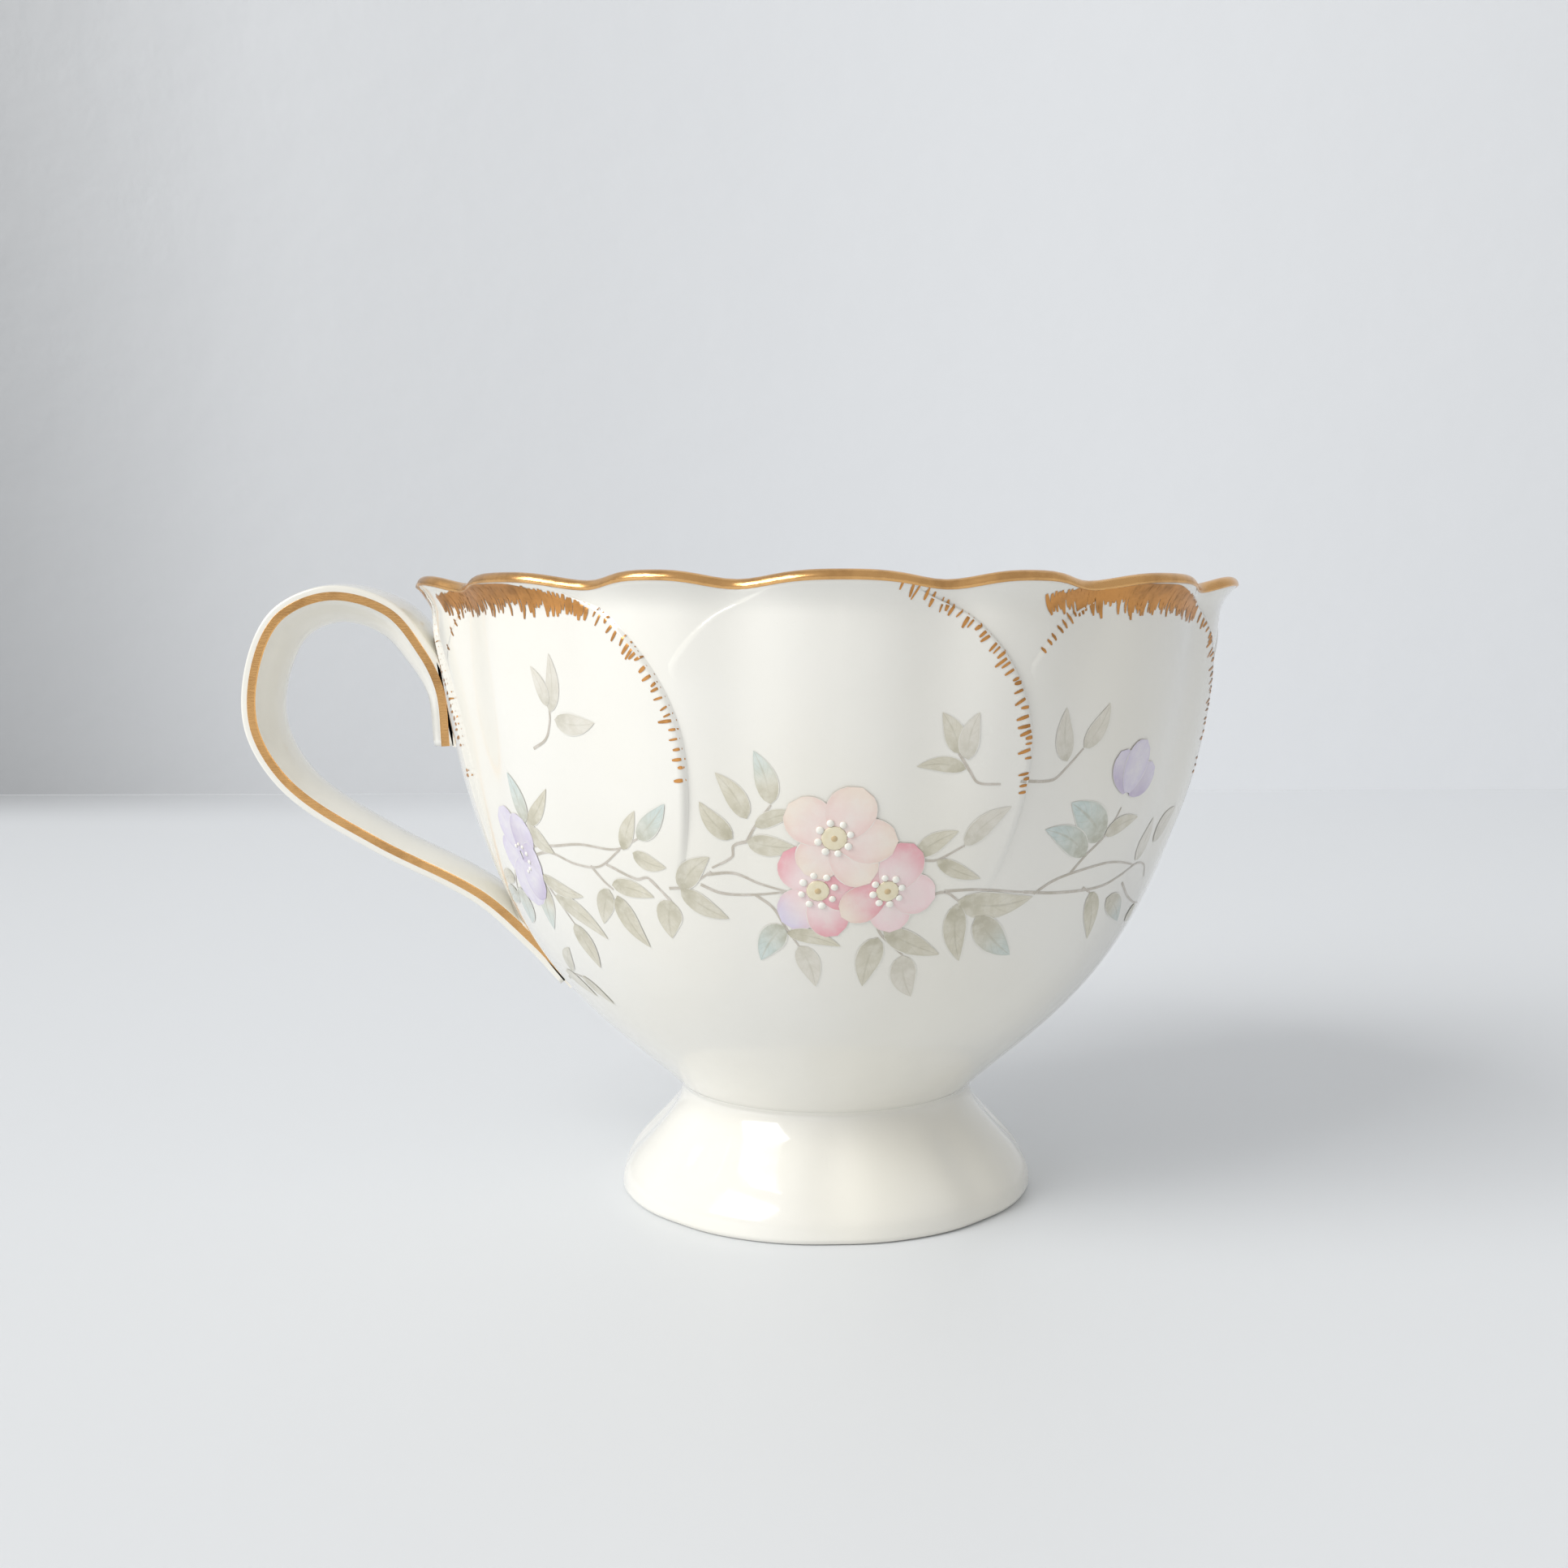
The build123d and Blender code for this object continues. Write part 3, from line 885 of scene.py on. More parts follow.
class Canvas:
    """Lays strokes on the bowl. Places are degrees round from the front and millimetres up."""

    def __init__(self):
        self.cup = Cup(settings()[0])
        bowl = bpy.data.objects["china_bowl"]
        self.tree = BVHTree.FromObject(bowl, bpy.context.evaluated_depsgraph_get())

    def wall_at(self, height):
        """Radius and way out of the wall at a height in metres, up to the shoulder."""
        point, out = self.cup.wall_at(min(height, self.cup.shoulder_height))
        return point.x, out

    def drape(self, point, reach, lift):
        """A point of the unrolled wall, laid on the china and lifted off it."""
        angle = point.x / reach - pi / 2
        way = Vector((cos(angle), sin(angle), 0))
        start = way * CLEAR_RADIUS + Vector((0, 0, point.y))
        hit = self.tree.ray_cast(start, -way)[0] or self.tree.find_nearest(start)[0]
        out = self.wall_at(point.y)[1]
        return hit + (way * out.x + Vector((0, 0, out.y))) * lift

    def stroke(self, bm, spine, width, shape, lift, paint, across=4):
        """A stroke along a line of places. shape gives its share of the width, and paint its
        colour and cover, along it and across it."""
        stroke_uv = bm.loops.layers.uv.get("stroke") or bm.loops.layers.uv.new("stroke")
        colour_layer = bm.verts.layers.float_color.get("paint") or bm.verts.layers.float_color.new("paint")
        reach = self.wall_at(spine[len(spine) // 2][1] * MM)[0]
        points = [Vector((radians(turn) * reach, height * MM)) for turn, height in spine]
        shares = [index / (len(points) - 1) for index in range(len(points))]
        rows = []
        for index, (point, along) in enumerate(zip(points, shares)):
            before, after = points[max(0, index - 1)], points[min(len(points) - 1, index + 1)]
            way = (after - before).normalized()
            side = Vector((-way.y, way.x))
            half = max(FINEST_STROKE, width * MM * shape(along)) / 2
            row = []
            for step in range(across + 1):
                share = step / across
                vert = bm.verts.new(self.drape(point + side * half * (2 * share - 1), reach, lift * MM))
                vert[colour_layer] = paint(along, share)
                row.append(vert)
            rows.append(row)
        for index, (row, following) in enumerate(zip(rows, rows[1:])):
            near, far = shares[index], shares[index + 1]
            for step in range(across):
                face = bm.faces.new([row[step], row[step + 1], following[step + 1], following[step]])
                uvs = [(near, step), (near, step + 1), (far, step + 1), (far, step)]
                for loop, (along, place) in zip(face.loops, uvs):
                    loop[stroke_uv].uv = (along, place / across)


# Leaves of the front spray: base and tip (degrees round from the front, millimetres up),
# width in millimetres, and kind.
LEAVES = [
    ((-9.1, 50.3), (-11.1, 55.5), 2.4, "tipped"), ((-12.4, 48.8), (-16.2, 53.3), 2.2, "olive"),
    ((-14.5, 46.8), (-18.6, 50.4), 2.1, "olive"), ((-11.4, 48.0), (-5.5, 49.5), 1.6, "olive"),
    ((-12.6, 46.5), (-5.9, 46.0), 2.2, "olive"), ((-28.5, 46.3), (-23.3, 50.1), 2.2, "teal"),
    ((-29.8, 44.8), (-24.6, 43.5), 1.9, "olive"), ((-23.0, 41.3), (-18.0, 44.8), 2.4, "olive"),
    ((-23.0, 41.3), (-16.3, 38.4), 2.2, "olive"), ((-24.9, 40.0), (-26.3, 35.8), 3.0, "olive"),
    ((-8.1, 37.8), (-12.2, 33.9), 2.7, "teal"), ((-7.8, 37.0), (0.2, 35.6), 1.6, "olive"),
    ((-6.1, 35.6), (-3.7, 31.0), 2.4, "pale"), ((5.8, 36.5), (4.0, 31.0), 2.7, "olive"),
    ((6.5, 37.3), (16.0, 34.3), 2.4, "olive"), ((10.0, 34.4), (12.8, 29.5), 2.8, "pale"),
    ((15.0, 55.1), (12.5, 59.1), 2.2, "olive"), ((16.2, 54.5), (17.2, 59.1), 2.1, "pale"),
    ((16.0, 53.6), (9.5, 53.9), 1.6, "olive"), ((31.5, 53.9), (30.3, 59.3), 2.5, "pale"),
    ((34.1, 55.2), (37.6, 59.6), 2.2, "pale"), ((10.3, 45.0), (15.9, 47.4), 2.1, "olive"),
    ((17.0, 45.9), (22.9, 49.7), 2.2, "pale"), ((13.3, 44.5), (20.1, 42.4), 1.6, "olive"),
    ((17.2, 40.1), (30.2, 39.9), 3.0, "olive"), ((17.2, 39.8), (19.7, 33.4), 2.5, "olive"),
    ((20.7, 38.3), (29.3, 33.5), 3.0, "tipped"), ((41.3, 45.4), (33.5, 49.6), 3.9, "teal"),
    ((38.6, 43.8), (29.6, 47.0), 2.8, "teal"), ((41.5, 45.8), (49.0, 47.3), 1.9, "olive"),
    ((42.4, 39.5), (47.8, 33.8), 2.4, "olive"), ((48.0, 38.4), (57.6, 34.9), 2.4, "tipped"),
    ((62.0, 36.2), (65.0, 34.3), 2.0, "olive"), ((53.2, 42.2), (55.4, 46.8), 2.9, "pale"),
    ((58.7, 43.8), (63.9, 47.4), 2.7, "pale"), ((-40.3, 59.3), (-42.4, 63.3), 1.6, "pale"),
    ((-39.9, 58.7), (-39.0, 64.6), 1.8, "pale"), ((-39.3, 58.0), (-33.0, 57.8), 2.3, "pale"),
    ((-50.4, 46.8), (-52.2, 52.1), 2.7, "teal"), ((-50.0, 46.6), (-43.3, 50.8), 1.8, "olive"),
    ((-50.0, 46.5), (-45.0, 43.9), 2.2, "olive"), ((-50.5, 41.1), (-41.5, 39.4), 1.7, "olive"),
    ((-50.4, 40.2), (-54.2, 34.6), 3.1, "tipped"), ((-48.7, 38.9), (-39.4, 34.8), 2.4, "olive"),
    ((-46.4, 36.0), (-45.1, 31.0), 2.7, "olive"), ((-61.2, 40.2), (-67.5, 39.0), 1.8, "olive"),
    ((-60.5, 38.9), (-63.2, 34.5), 3.1, "teal"), ((-62.5, 38.0), (-70.0, 36.4), 2.2, "teal"),
    ((-57.7, 29.4), (-52.2, 32.7), 1.8, "olive"), ((-61.2, 28.9), (-54.0, 26.6), 2.0, "olive"),
    ((-54.5, 29.0), (-48.7, 26.1), 1.6, "olive"), ((-35.7, 40.6), (-39.0, 36.6), 2.2, "olive"),
    ((-34.9, 41.1), (-27.7, 40.2), 2.0, "olive"), ((-34.5, 40.0), (-31.0, 34.5), 2.4, "olive"),
    ((-31.4, 45.0), (-28.2, 49.2), 1.8, "olive"),
]

# Vines of the front spray, as lines of places.
VINES = [
    [(-12.6, 46.5), (-14.5, 46.0), (-14.8, 44.9), (-17.8, 43.7)],
    [(-12.6, 46.5), (-11.4, 48.0), (-9.1, 50.2)],
    [(-18.7, 43.0), (-14.8, 43.2), (-11.3, 42.2), (-7.3, 41.4)],
    [(-19.8, 41.9), (-17.0, 41.1), (-12.6, 41.0), (-7.3, 41.4)],
    [(-24.8, 41.3), (-22.0, 41.6), (-18.0, 43.3)],
    [(-27.8, 42.1), (-24.9, 40.0)],
    [(-12.0, 41.0), (-9.6, 39.7), (-8.1, 37.8), (-6.1, 35.6)],
    [(5.0, 38.8), (6.0, 37.0), (8.0, 35.6), (10.0, 34.4)],
    [(15.0, 55.1), (16.6, 53.3), (17.8, 52.2), (20.9, 52.0)],
    [(23.7, 52.2), (29.4, 52.1), (31.5, 53.2), (34.1, 55.1)],
    [(8.0, 43.8), (10.3, 44.5), (13.3, 44.5), (17.0, 45.9)],
    [(11.9, 40.4), (15.0, 41.1), (17.2, 40.2), (20.7, 38.3)],
    [(15.0, 41.2), (20.0, 41.2), (28.2, 40.5)],
    [(28.2, 40.5), (35.0, 40.0), (44.9, 40.0), (50.2, 40.9), (54.5, 41.7), (58.7, 41.2), (61.0, 39.7)],
    [(30.2, 40.2), (33.5, 41.4), (37.6, 42.1), (43.7, 42.6), (48.0, 42.4), (53.2, 41.7)],
    [(36.4, 42.0), (38.6, 43.8), (41.7, 45.7), (43.3, 47.6), (43.9, 48.6)],
    [(51.5, 39.8), (55.9, 38.1), (61.0, 36.8), (65.4, 36.2)],
    [(40.2, 40.2), (42.4, 39.5)],
    [(-44.2, 54.9), (-41.4, 56.0), (-40.2, 57.8), (-40.0, 59.0)],
    [(-50.5, 43.3), (-46.0, 43.9), (-41.0, 43.0), (-36.4, 43.0), (-32.0, 45.0)],
    [(-50.5, 44.3), (-44.7, 44.7), (-39.0, 45.2), (-32.7, 45.0), (-28.5, 46.3)],
    [(-35.0, 43.3), (-30.2, 42.0), (-27.9, 42.2), (-25.2, 40.0)],
    [(-38.0, 43.0), (-36.2, 41.4), (-34.9, 40.6)],
    [(-51.0, 41.5), (-48.7, 38.9), (-46.4, 36.0)],
    [(-59.5, 41.0), (-61.2, 39.6), (-62.5, 38.0)],
    [(-62.5, 28.0), (-59.0, 28.9), (-54.5, 29.0)],
]

# Blossoms of the front spray: middle of the heart, radius of its ring of dots, and petals as
# (middle, width, inner colour, outer colour), the lowest petals first.
BLOSSOMS = [
    ((-3.1, 41.6), 1.65, [
        ((-2.0, 43.4), 4.0, "rose", "rose"), ((-6.1, 39.7), 4.4, "blush", "lilac"),
        ((-1.5, 38.9), 4.2, "blush", "rose"), ((0.1, 41.3), 3.8, "rose", "rose"),
        ((-5.7, 43.8), 4.6, "blush", "rose"),
    ]),
    ((6.6, 41.5), 1.45, [
        ((4.9, 43.7), 4.0, "rose", "rose"), ((7.1, 39.0), 4.2, "blush", "blush"),
        ((3.0, 40.0), 3.9, "rose", "cream"), ((10.6, 41.0), 4.3, "blush", "blush"),
        ((8.4, 44.2), 4.6, "blush", "rose"),
    ]),
    ((-0.9, 47.0), 1.6, [
        ((-3.1, 44.9), 4.6, "peach", "cream"), ((1.9, 44.4), 4.6, "peach", "cream"),
        ((3.9, 46.8), 4.6, "peach", "cream"), ((-4.2, 48.9), 4.8, "peach", "cream"),
        ((1.1, 49.8), 5.0, "peach", "cream"),
    ]),
]

# The lilac flower and the lilac bud: petals as (root, tip, width, inner and outer colour).
LILAC_PETALS = [
    ((-55.0, 43.0), (-60.6, 42.0), 5.2, "lilac", "lilac"),
    ((-55.0, 42.5), (-56.0, 37.2), 6.0, "lilac", "lilac"),
    ((-54.8, 43.5), (-58.2, 48.0), 4.4, "lilac", "lilac"),
    ((-54.8, 43.5), (-51.0, 47.2), 4.8, "violet", "lilac"),
    ((-54.5, 42.0), (-49.6, 42.0), 5.0, "violet", "lilac"),
    ((-54.9, 42.0), (-51.8, 38.4), 4.4, "lilac", "violet"),
]
BUD_PETALS = [
    ((43.9, 50.2), (41.0, 54.6), 3.6, "violet", "lilac"),
    ((44.6, 50.2), (50.4, 52.6), 3.4, "violet", "lilac"),
    ((44.1, 50.2), (46.6, 55.6), 4.2, "lilac", "lilac"),
]

# The back carries the same spray, mirrored.
SPRAYS = {"front": lambda spot: spot, "back": lambda spot: (180 - spot[0], spot[1])}
# The leaves of a spray are kept in three pieces, by the degrees their bases are at.
REGIONS = {"left": (-90, -28), "middle": (-28, 26), "right": (26, 90)}


def blend_colour(first, second, share):
    """A colour between two."""
    return tuple(a + (b - a) * share for a, b in zip(first, second))


def leaf_shape(along):
    """Share of a leaf's width along it: a narrow base, widest before the middle, a long tip."""
    return max(0.0, sin(pi * min(1, along**0.72))) ** 0.85


def petal_shape(along):
    """Share of a petal's width along it: narrow at the heart, broad and round at the end."""
    return max(0.0, sin(pi * min(1, (0.04 + 0.96 * along) ** 1.25))) ** 0.48


def bent_line(base, tip, bend, steps):
    """A line of places from base to tip that bows aside by a share of its length."""
    line = []
    for step in range(steps + 1):
        along = step / steps
        bow = bend * sin(pi * along)
        turn = base[0] + (tip[0] - base[0]) * along - (tip[1] - base[1]) * bow * 1.3
        height = base[1] + (tip[1] - base[1]) * along + (tip[0] - base[0]) * bow * 0.7
        line.append((turn, height))
    return line


# How far paint lies off the glaze, in millimetres: the first layer, and each one over it.
VINE_LIFT, VINE_WIDTH = 0.035, 0.32
LEAF_LIFT, LEAF_LAYER = 0.045, 0.012
PETAL_LIFT, BLOSSOM_LAYER, PETAL_LAYER, LILAC_LAYER = 0.06, 0.035, 0.006, 0.007
DOT_LIFT = 0.13
PETAL_LENGTH = 1.78           # a petal's length against the way from the heart to its middle


class TEACUP_OT_leaves(bpy.types.Operator):
    """Paints the leaves of both sprays"""

    bl_idname = "teacup.leaves"
    bl_label = "Leaves"

    def execute(self, context):
        size, colours = settings()
        canvas = Canvas()
        draw = random.Random(size.seed)
        kinds = {
            "olive": (colours.olive, colours.olive),
            "pale": (colours.pale, colours.pale),
            "teal": (blend_colour(colours.olive, colours.teal, 0.55), colours.teal),
            "tipped": (colours.olive, blend_colour(colours.olive, colours.teal, 0.85)),
        }
        material = paint_material(
            colours, "leaf_paint", colours.olive_deep,
            Veins=0.42, Outline=0.26, Base=1.0, Streaks=0.08, Cover=0.78,
        )
        for spray, turned in SPRAYS.items():
            for region, (low, high) in REGIONS.items():
                bm = bmesh.new()
                for index, (base, tip, width, kind) in enumerate(LEAVES):
                    if not low <= base[0] < high:
                        continue
                    near, far = kinds[kind]
                    shade = draw.uniform(0.92, 1.06)
                    cover = 0.72 if kind == "pale" else draw.uniform(0.85, 1.0)

                    def paint(along, share):
                        tone = blend_colour(near, far, smooth_share(0.2, 0.9, along))
                        return (*(min(1, channel * shade) for channel in tone), cover)

                    line = bent_line(base, tip, draw.choice((-1, 1)) * draw.uniform(0.03, 0.09), 12)
                    lift = LEAF_LIFT + LEAF_LAYER * (index % 3)
                    canvas.stroke(bm, [turned(spot) for spot in line], width, leaf_shape, lift, paint, 6)
                piece(f"leaves_{spray}_{region}", bm, material)
        return {"FINISHED"}


class TEACUP_OT_vines(bpy.types.Operator):
    """Paints the thin vines that join the sprays"""

    bl_idname = "teacup.vines"
    bl_label = "Vines"

    def execute(self, context):
        colours = settings()[1]
        canvas = Canvas()
        material = paint_material(
            colours, "vine_paint", colours.olive_deep,
            Veins=0.0, Outline=0.2, Base=0.3, Streaks=0.3, Cover=0.72,
        )

        def paint(along, share):
            return (*colours.stem, 1)

        for spray, turned in SPRAYS.items():
            bm = bmesh.new()
            for vine in VINES:
                line = [turned(tuple(spot)) for spot in smooth_line(vine, 7)]
                canvas.stroke(bm, line, VINE_WIDTH, lambda along: 1 - 0.4 * along, VINE_LIFT, paint, 2)
            piece(f"vines_{spray}", bm, material)
        return {"FINISHED"}


class TEACUP_OT_blossoms(bpy.types.Operator):
    """Paints the pink and cream blossoms, the lilac flower and the lilac bud"""

    bl_idname = "teacup.blossoms"
    bl_label = "Blossoms"

    def execute(self, context):
        size, colours = settings()
        canvas = Canvas()
        draw = random.Random(size.seed + 1)
        materials = {
            "blossoms": paint_material(
                colours, "blossom_paint", (0.66, 0.32, 0.27), Veins=0.0, Outline=0.16, Base=0.10,
                Streaks=0.06, Wash_Scale=620.0, Cover=0.84, Fade_From=0.965,
            ),
            "lilacs": paint_material(
                colours, "lilac_paint", colours.violet, Veins=0.10, Outline=0.26, Base=0.25,
                Streaks=0.14, Wash_Scale=700.0, Cover=0.72, Fade_From=0.95,
            ),
        }

        def brushed(bm, root, tip, width, inner, outer, lift, turned):
            """One petal, brushed from its root to its tip and paler in its middle."""
            near, far = getattr(colours, inner), getattr(colours, outer)

            def paint(along, share):
                tone = blend_colour(near, far, smooth_share(0.35, 0.95, along))
                pale = blend_colour(tone, colours.china, 0.38 * (1 - abs(2 * share - 1)) * sin(pi * along))
                return (*pale, 1)

            line = bent_line(root, tip, draw.uniform(-0.04, 0.04), 12)
            canvas.stroke(bm, [turned(spot) for spot in line], width, petal_shape, lift, paint, 10)

        for spray, turned in SPRAYS.items():
            bm = bmesh.new()
            for order, (heart, ring, petals) in enumerate(BLOSSOMS):
                for index, (middle, width, inner, outer) in enumerate(petals):
                    tip = tuple(start + (end - start) * PETAL_LENGTH for start, end in zip(heart, middle))
                    lift = PETAL_LIFT + BLOSSOM_LAYER * order + PETAL_LAYER * index
                    brushed(bm, heart, tip, width, inner, outer, lift, turned)
            piece(f"blossoms_{spray}", bm, materials["blossoms"])
            bm = bmesh.new()
            for index, (root, tip, width, inner, outer) in enumerate(LILAC_PETALS + BUD_PETALS):
                brushed(bm, root, tip, width, inner, outer, PETAL_LIFT + LILAC_LAYER * index, turned)
            piece(f"lilacs_{spray}", bm, materials["lilacs"])
        return {"FINISHED"}


RING_DOTS = 8                 # dots round a blossom's heart
LILAC_DOTS = 7                # dots in an open arc in the lilac flower
LILAC_HEART = (-54.6, 42.7)
# Radius, or least and most, and rise of the enamel's domes, in millimetres.
HEART_RADII, HEART_RISE = (1.15, 1.15, 1.27), 0.07
OCHRE_RADIUS, OCHRE_RISE = 0.36, 0.16
DOT_RADII, DOT_RISE = (0.35, 0.41), 0.17
LILAC_DOT_RADII, LILAC_DOT_RISE, LILAC_DOT_LIFT = (0.2, 0.28), 0.12, 0.12


class TEACUP_OT_enamel(bpy.types.Operator):
    """Sets the raised enamel hearts and dots on the blossoms"""

    bl_idname = "teacup.enamel"
    bl_label = "Enamel dots"

    def execute(self, context):
        size, colours = settings()
        canvas = Canvas()
        draw = random.Random(size.seed + 2)
        material = enamel_material(colours)
        pale_heart = blend_colour(colours.heart, colours.china, 0.35)
        ochre = blend_colour(colours.heart, colours.gold_deep, 0.45)

        for spray, turned in SPRAYS.items():
            bm = bmesh.new()
            paint_layer = bm.verts.layers.float_color.new("paint")

            def dome(spot, radius, rise, tone, lift):
                """A low dome of enamel, in millimetres."""
                turn, height = turned(spot)
                reach, out = canvas.wall_at(height * MM)
                point = canvas.drape(Vector((radians(turn) * reach, height * MM)), reach, lift * MM)
                angle = radians(turn) - pi / 2
                normal = Vector((cos(angle) * out.x, sin(angle) * out.x, out.y))
                facing = normal.to_track_quat("Z", "Y").to_matrix().to_4x4()
                squash = Matrix.Diagonal((radius * MM, radius * MM, rise * MM, 1))
                place = Matrix.Translation(point) @ facing @ squash
                made = bmesh.ops.create_uvsphere(bm, u_segments=14, v_segments=8, radius=1, matrix=place)
                for vert in made["verts"]:
                    vert[paint_layer] = (*tone, 1)

            for order, (heart, ring, petals) in enumerate(BLOSSOMS):
                lift = DOT_LIFT + BLOSSOM_LAYER * order
                dome(heart, HEART_RADII[order], HEART_RISE, pale_heart, lift)
                dome(heart, OCHRE_RADIUS, OCHRE_RISE, ochre, lift)
                reach = canvas.wall_at(heart[1] * MM)[0] / MM
                for step in range(RING_DOTS):
                    turn = 2 * pi * (step + 0.3) / RING_DOTS
                    across = degrees(ring * cos(turn) / reach)
                    spot = (heart[0] + across, heart[1] + ring * sin(turn) * 0.97)
                    dome(spot, draw.uniform(*DOT_RADII), DOT_RISE, colours.enamel, lift)
            for step in range(LILAC_DOTS):
                turn = radians(-80 + 34 * step)
                spot = (LILAC_HEART[0] + 1.9 * cos(turn), LILAC_HEART[1] + 1.5 * sin(turn))
                radius = draw.uniform(*LILAC_DOT_RADII)
                dome(spot, radius, LILAC_DOT_RISE, colours.enamel, LILAC_DOT_LIFT)
            piece(f"enamel_{spray}", bm, material)
        return {"FINISHED"}


# ---------------------------------------------------------------- gilding


class TEACUP_OT_rim(bpy.types.Operator):
    """Gilds the rounded edge of the lip"""

    bl_idname = "teacup.rim"
    bl_label = "Gilded lip"

    def execute(self, context):
        size, colours = settings()
        cup = Cup(size)
        gilded_from, clearance = 0.955, 0.01 * MM
        far = cup.lip_stations(gilded_from, size.film, flare_steps=2)
        near = cup.lip_stations(gilded_from, clearance, flare_steps=2)
        bm = spun(far + near[::-1], PETALS * COLUMNS, cup.place, closed=True)
        piece("gold_lip", bm, burnished_gold(colours), ["rim_gilding"])
        return {"FINISHED"}


# The gold brush. Lengths and heights are in millimetres, and pairs are the least and the most.
DASH_LIFT = 0.05              # off the glaze
FEATHER_LIFT = 0.055          # over the brushed crown
DASHES_FROM, DASHES_TO = 71.7, 50.4    # heights between which an edge has dashes
CROWNED_FROM = 68.9           # where they start on a petal with a brushed crown
SPARSE_BELOW = 55             # below this the dashes are shorter and some are left out
SPARSE_LEFT_OUT = 0.35
DASH_LONG, DASH_WIDE, DASH_GAP = (0.8, 1.9), (0.2, 0.4), (0.5, 1.05)
DASH_OUT = (0.05, 0.25)       # how far a dash starts beyond the edge
DASH_LEAN = 14                # degrees to either side of square to the edge
FAR_FROM, FAR_TO = 9.3, 20    # degrees between which a crowned petal's left edge has dashes
FAR_LONG, FAR_WIDE, FAR_GAP, FAR_LEAN = (0.7, 1.5), 0.3, (0.5, 1.15), 12
CROWN_TOP, CROWN_WIDE = 71.45, 1.5
CROWN_FROM, CROWN_TO = -19.5, 12.5     # degrees between which the crown has feathers
FEATHER_LONG, FEATHER_WIDE, FEATHER_GAP = (0.9, 2.6), (0.35, 0.6), (0.35, 0.62)
FEATHER_DROP, FEATHER_LEAN = (0.2, 0.6), 9


def full_cover(along, share):
    """Gold covers the whole of a stroke."""
    return (1, 1, 1, 1)


def dash_shape(along):
    """Share of a dash's width along it: full in the middle, thin at both ends."""
    return 0.25 + 0.75 * sin(pi * (0.12 + 0.8 * along))


def crown_shape(along):
    """Share of the crown's width along it: tapered at its ends."""
    return min(1, 7 * along, 3 * (1 - along))


def crown_top(offset):
    """Top of the crown under the lip, steeper on its right."""
    return CROWN_TOP - (0.0022 if offset < -1 else 0.0095) * (offset + 1) ** 2


class Gilder:
    """Brushes one petal's gold, with random draws from the cup's seed."""

    def __init__(self, canvas, draw, petal):
        self.canvas, self.draw = canvas, draw
        self.middle = 360 / PETALS * petal
        self.bm = bmesh.new()

    def reach_at(self, height):
        """Radius of the wall in millimetres at a height in millimetres."""
        return self.canvas.wall_at(height * MM)[0] / MM

    def dash(self, spot, way, long, wide, lift=DASH_LIFT):
        """A tapered dash at a place, its way in degrees up from level."""
        turn, rise = degrees(cos(radians(way)) / self.reach_at(spot[1])), sin(radians(way))
        line = [
            (self.middle + spot[0] + turn * long * (share - 0.5), spot[1] + rise * long * (share - 0.5))
            for share in (0, 0.25, 0.5, 0.75, 1)
        ]
        self.canvas.stroke(self.bm, line, wide, dash_shape, lift, full_cover, 2)

    def edge_dashes(self, height):
        """Dashes across the petal's right edge, from a height down to where they stop."""
        draw, fall = self.draw, 0.5
        while height > DASHES_TO:
            edge = degrees(petal_half(height * MM))
            lower = degrees(petal_half((height - fall) * MM))
            reach = self.reach_at(height)
            steep = degrees(atan2(fall, radians(lower - edge) * reach)) if lower > edge else 90
            across = min(78, max(8, 90 - steep + draw.uniform(-DASH_LEAN, DASH_LEAN)))
            sparse = height < SPARSE_BELOW
            long = draw.uniform(*DASH_LONG) * (0.75 if sparse else 1)
            if not (sparse and draw.random() < SPARSE_LEFT_OUT):
                inward = long / 2 - draw.uniform(*DASH_OUT)
                beside = degrees(cos(radians(across)) * inward / reach)
                below = sin(radians(across)) * inward
                self.dash((edge - beside, height - below), across, long, draw.uniform(*DASH_WIDE))
            height -= draw.uniform(*DASH_GAP) * max(0.35, sin(radians(steep)))

    def far_dashes(self):
        """A short row of dashes down the petal's left edge."""
        draw, side = self.draw, FAR_FROM
        while side < FAR_TO:
            if draw.random() < 0.72:
                way = 180 - min(75, max(20, 120 - 4.4 * side)) + draw.uniform(-FAR_LEAN, FAR_LEAN)
                self.dash((-side, petal_top(radians(side)) / MM), way, draw.uniform(*FAR_LONG), FAR_WIDE)
            side += draw.uniform(*FAR_GAP)

    def crown(self):
        """The brushed crown under the lip, and its long feathered ends."""
        draw, offset = self.draw, CROWN_FROM
        line = [(self.middle + place, crown_top(place) - CROWN_WIDE / 2) for place in range(-19, 13)]
        self.canvas.stroke(self.bm, line, CROWN_WIDE, crown_shape, DASH_LIFT, full_cover, 4)
        while offset < CROWN_TO:
            long = draw.uniform(*FEATHER_LONG) * (1 - 0.35 * abs(offset + 4) / 16)
            way = -90 - 1.32 * offset + draw.uniform(-FEATHER_LEAN, FEATHER_LEAN)
            height = crown_top(offset) - 0.2 - long / 2 - draw.uniform(*FEATHER_DROP)
            self.dash((offset, height), way, long + 0.8, draw.uniform(*FEATHER_WIDE), FEATHER_LIFT)
            offset += draw.uniform(*FEATHER_GAP)


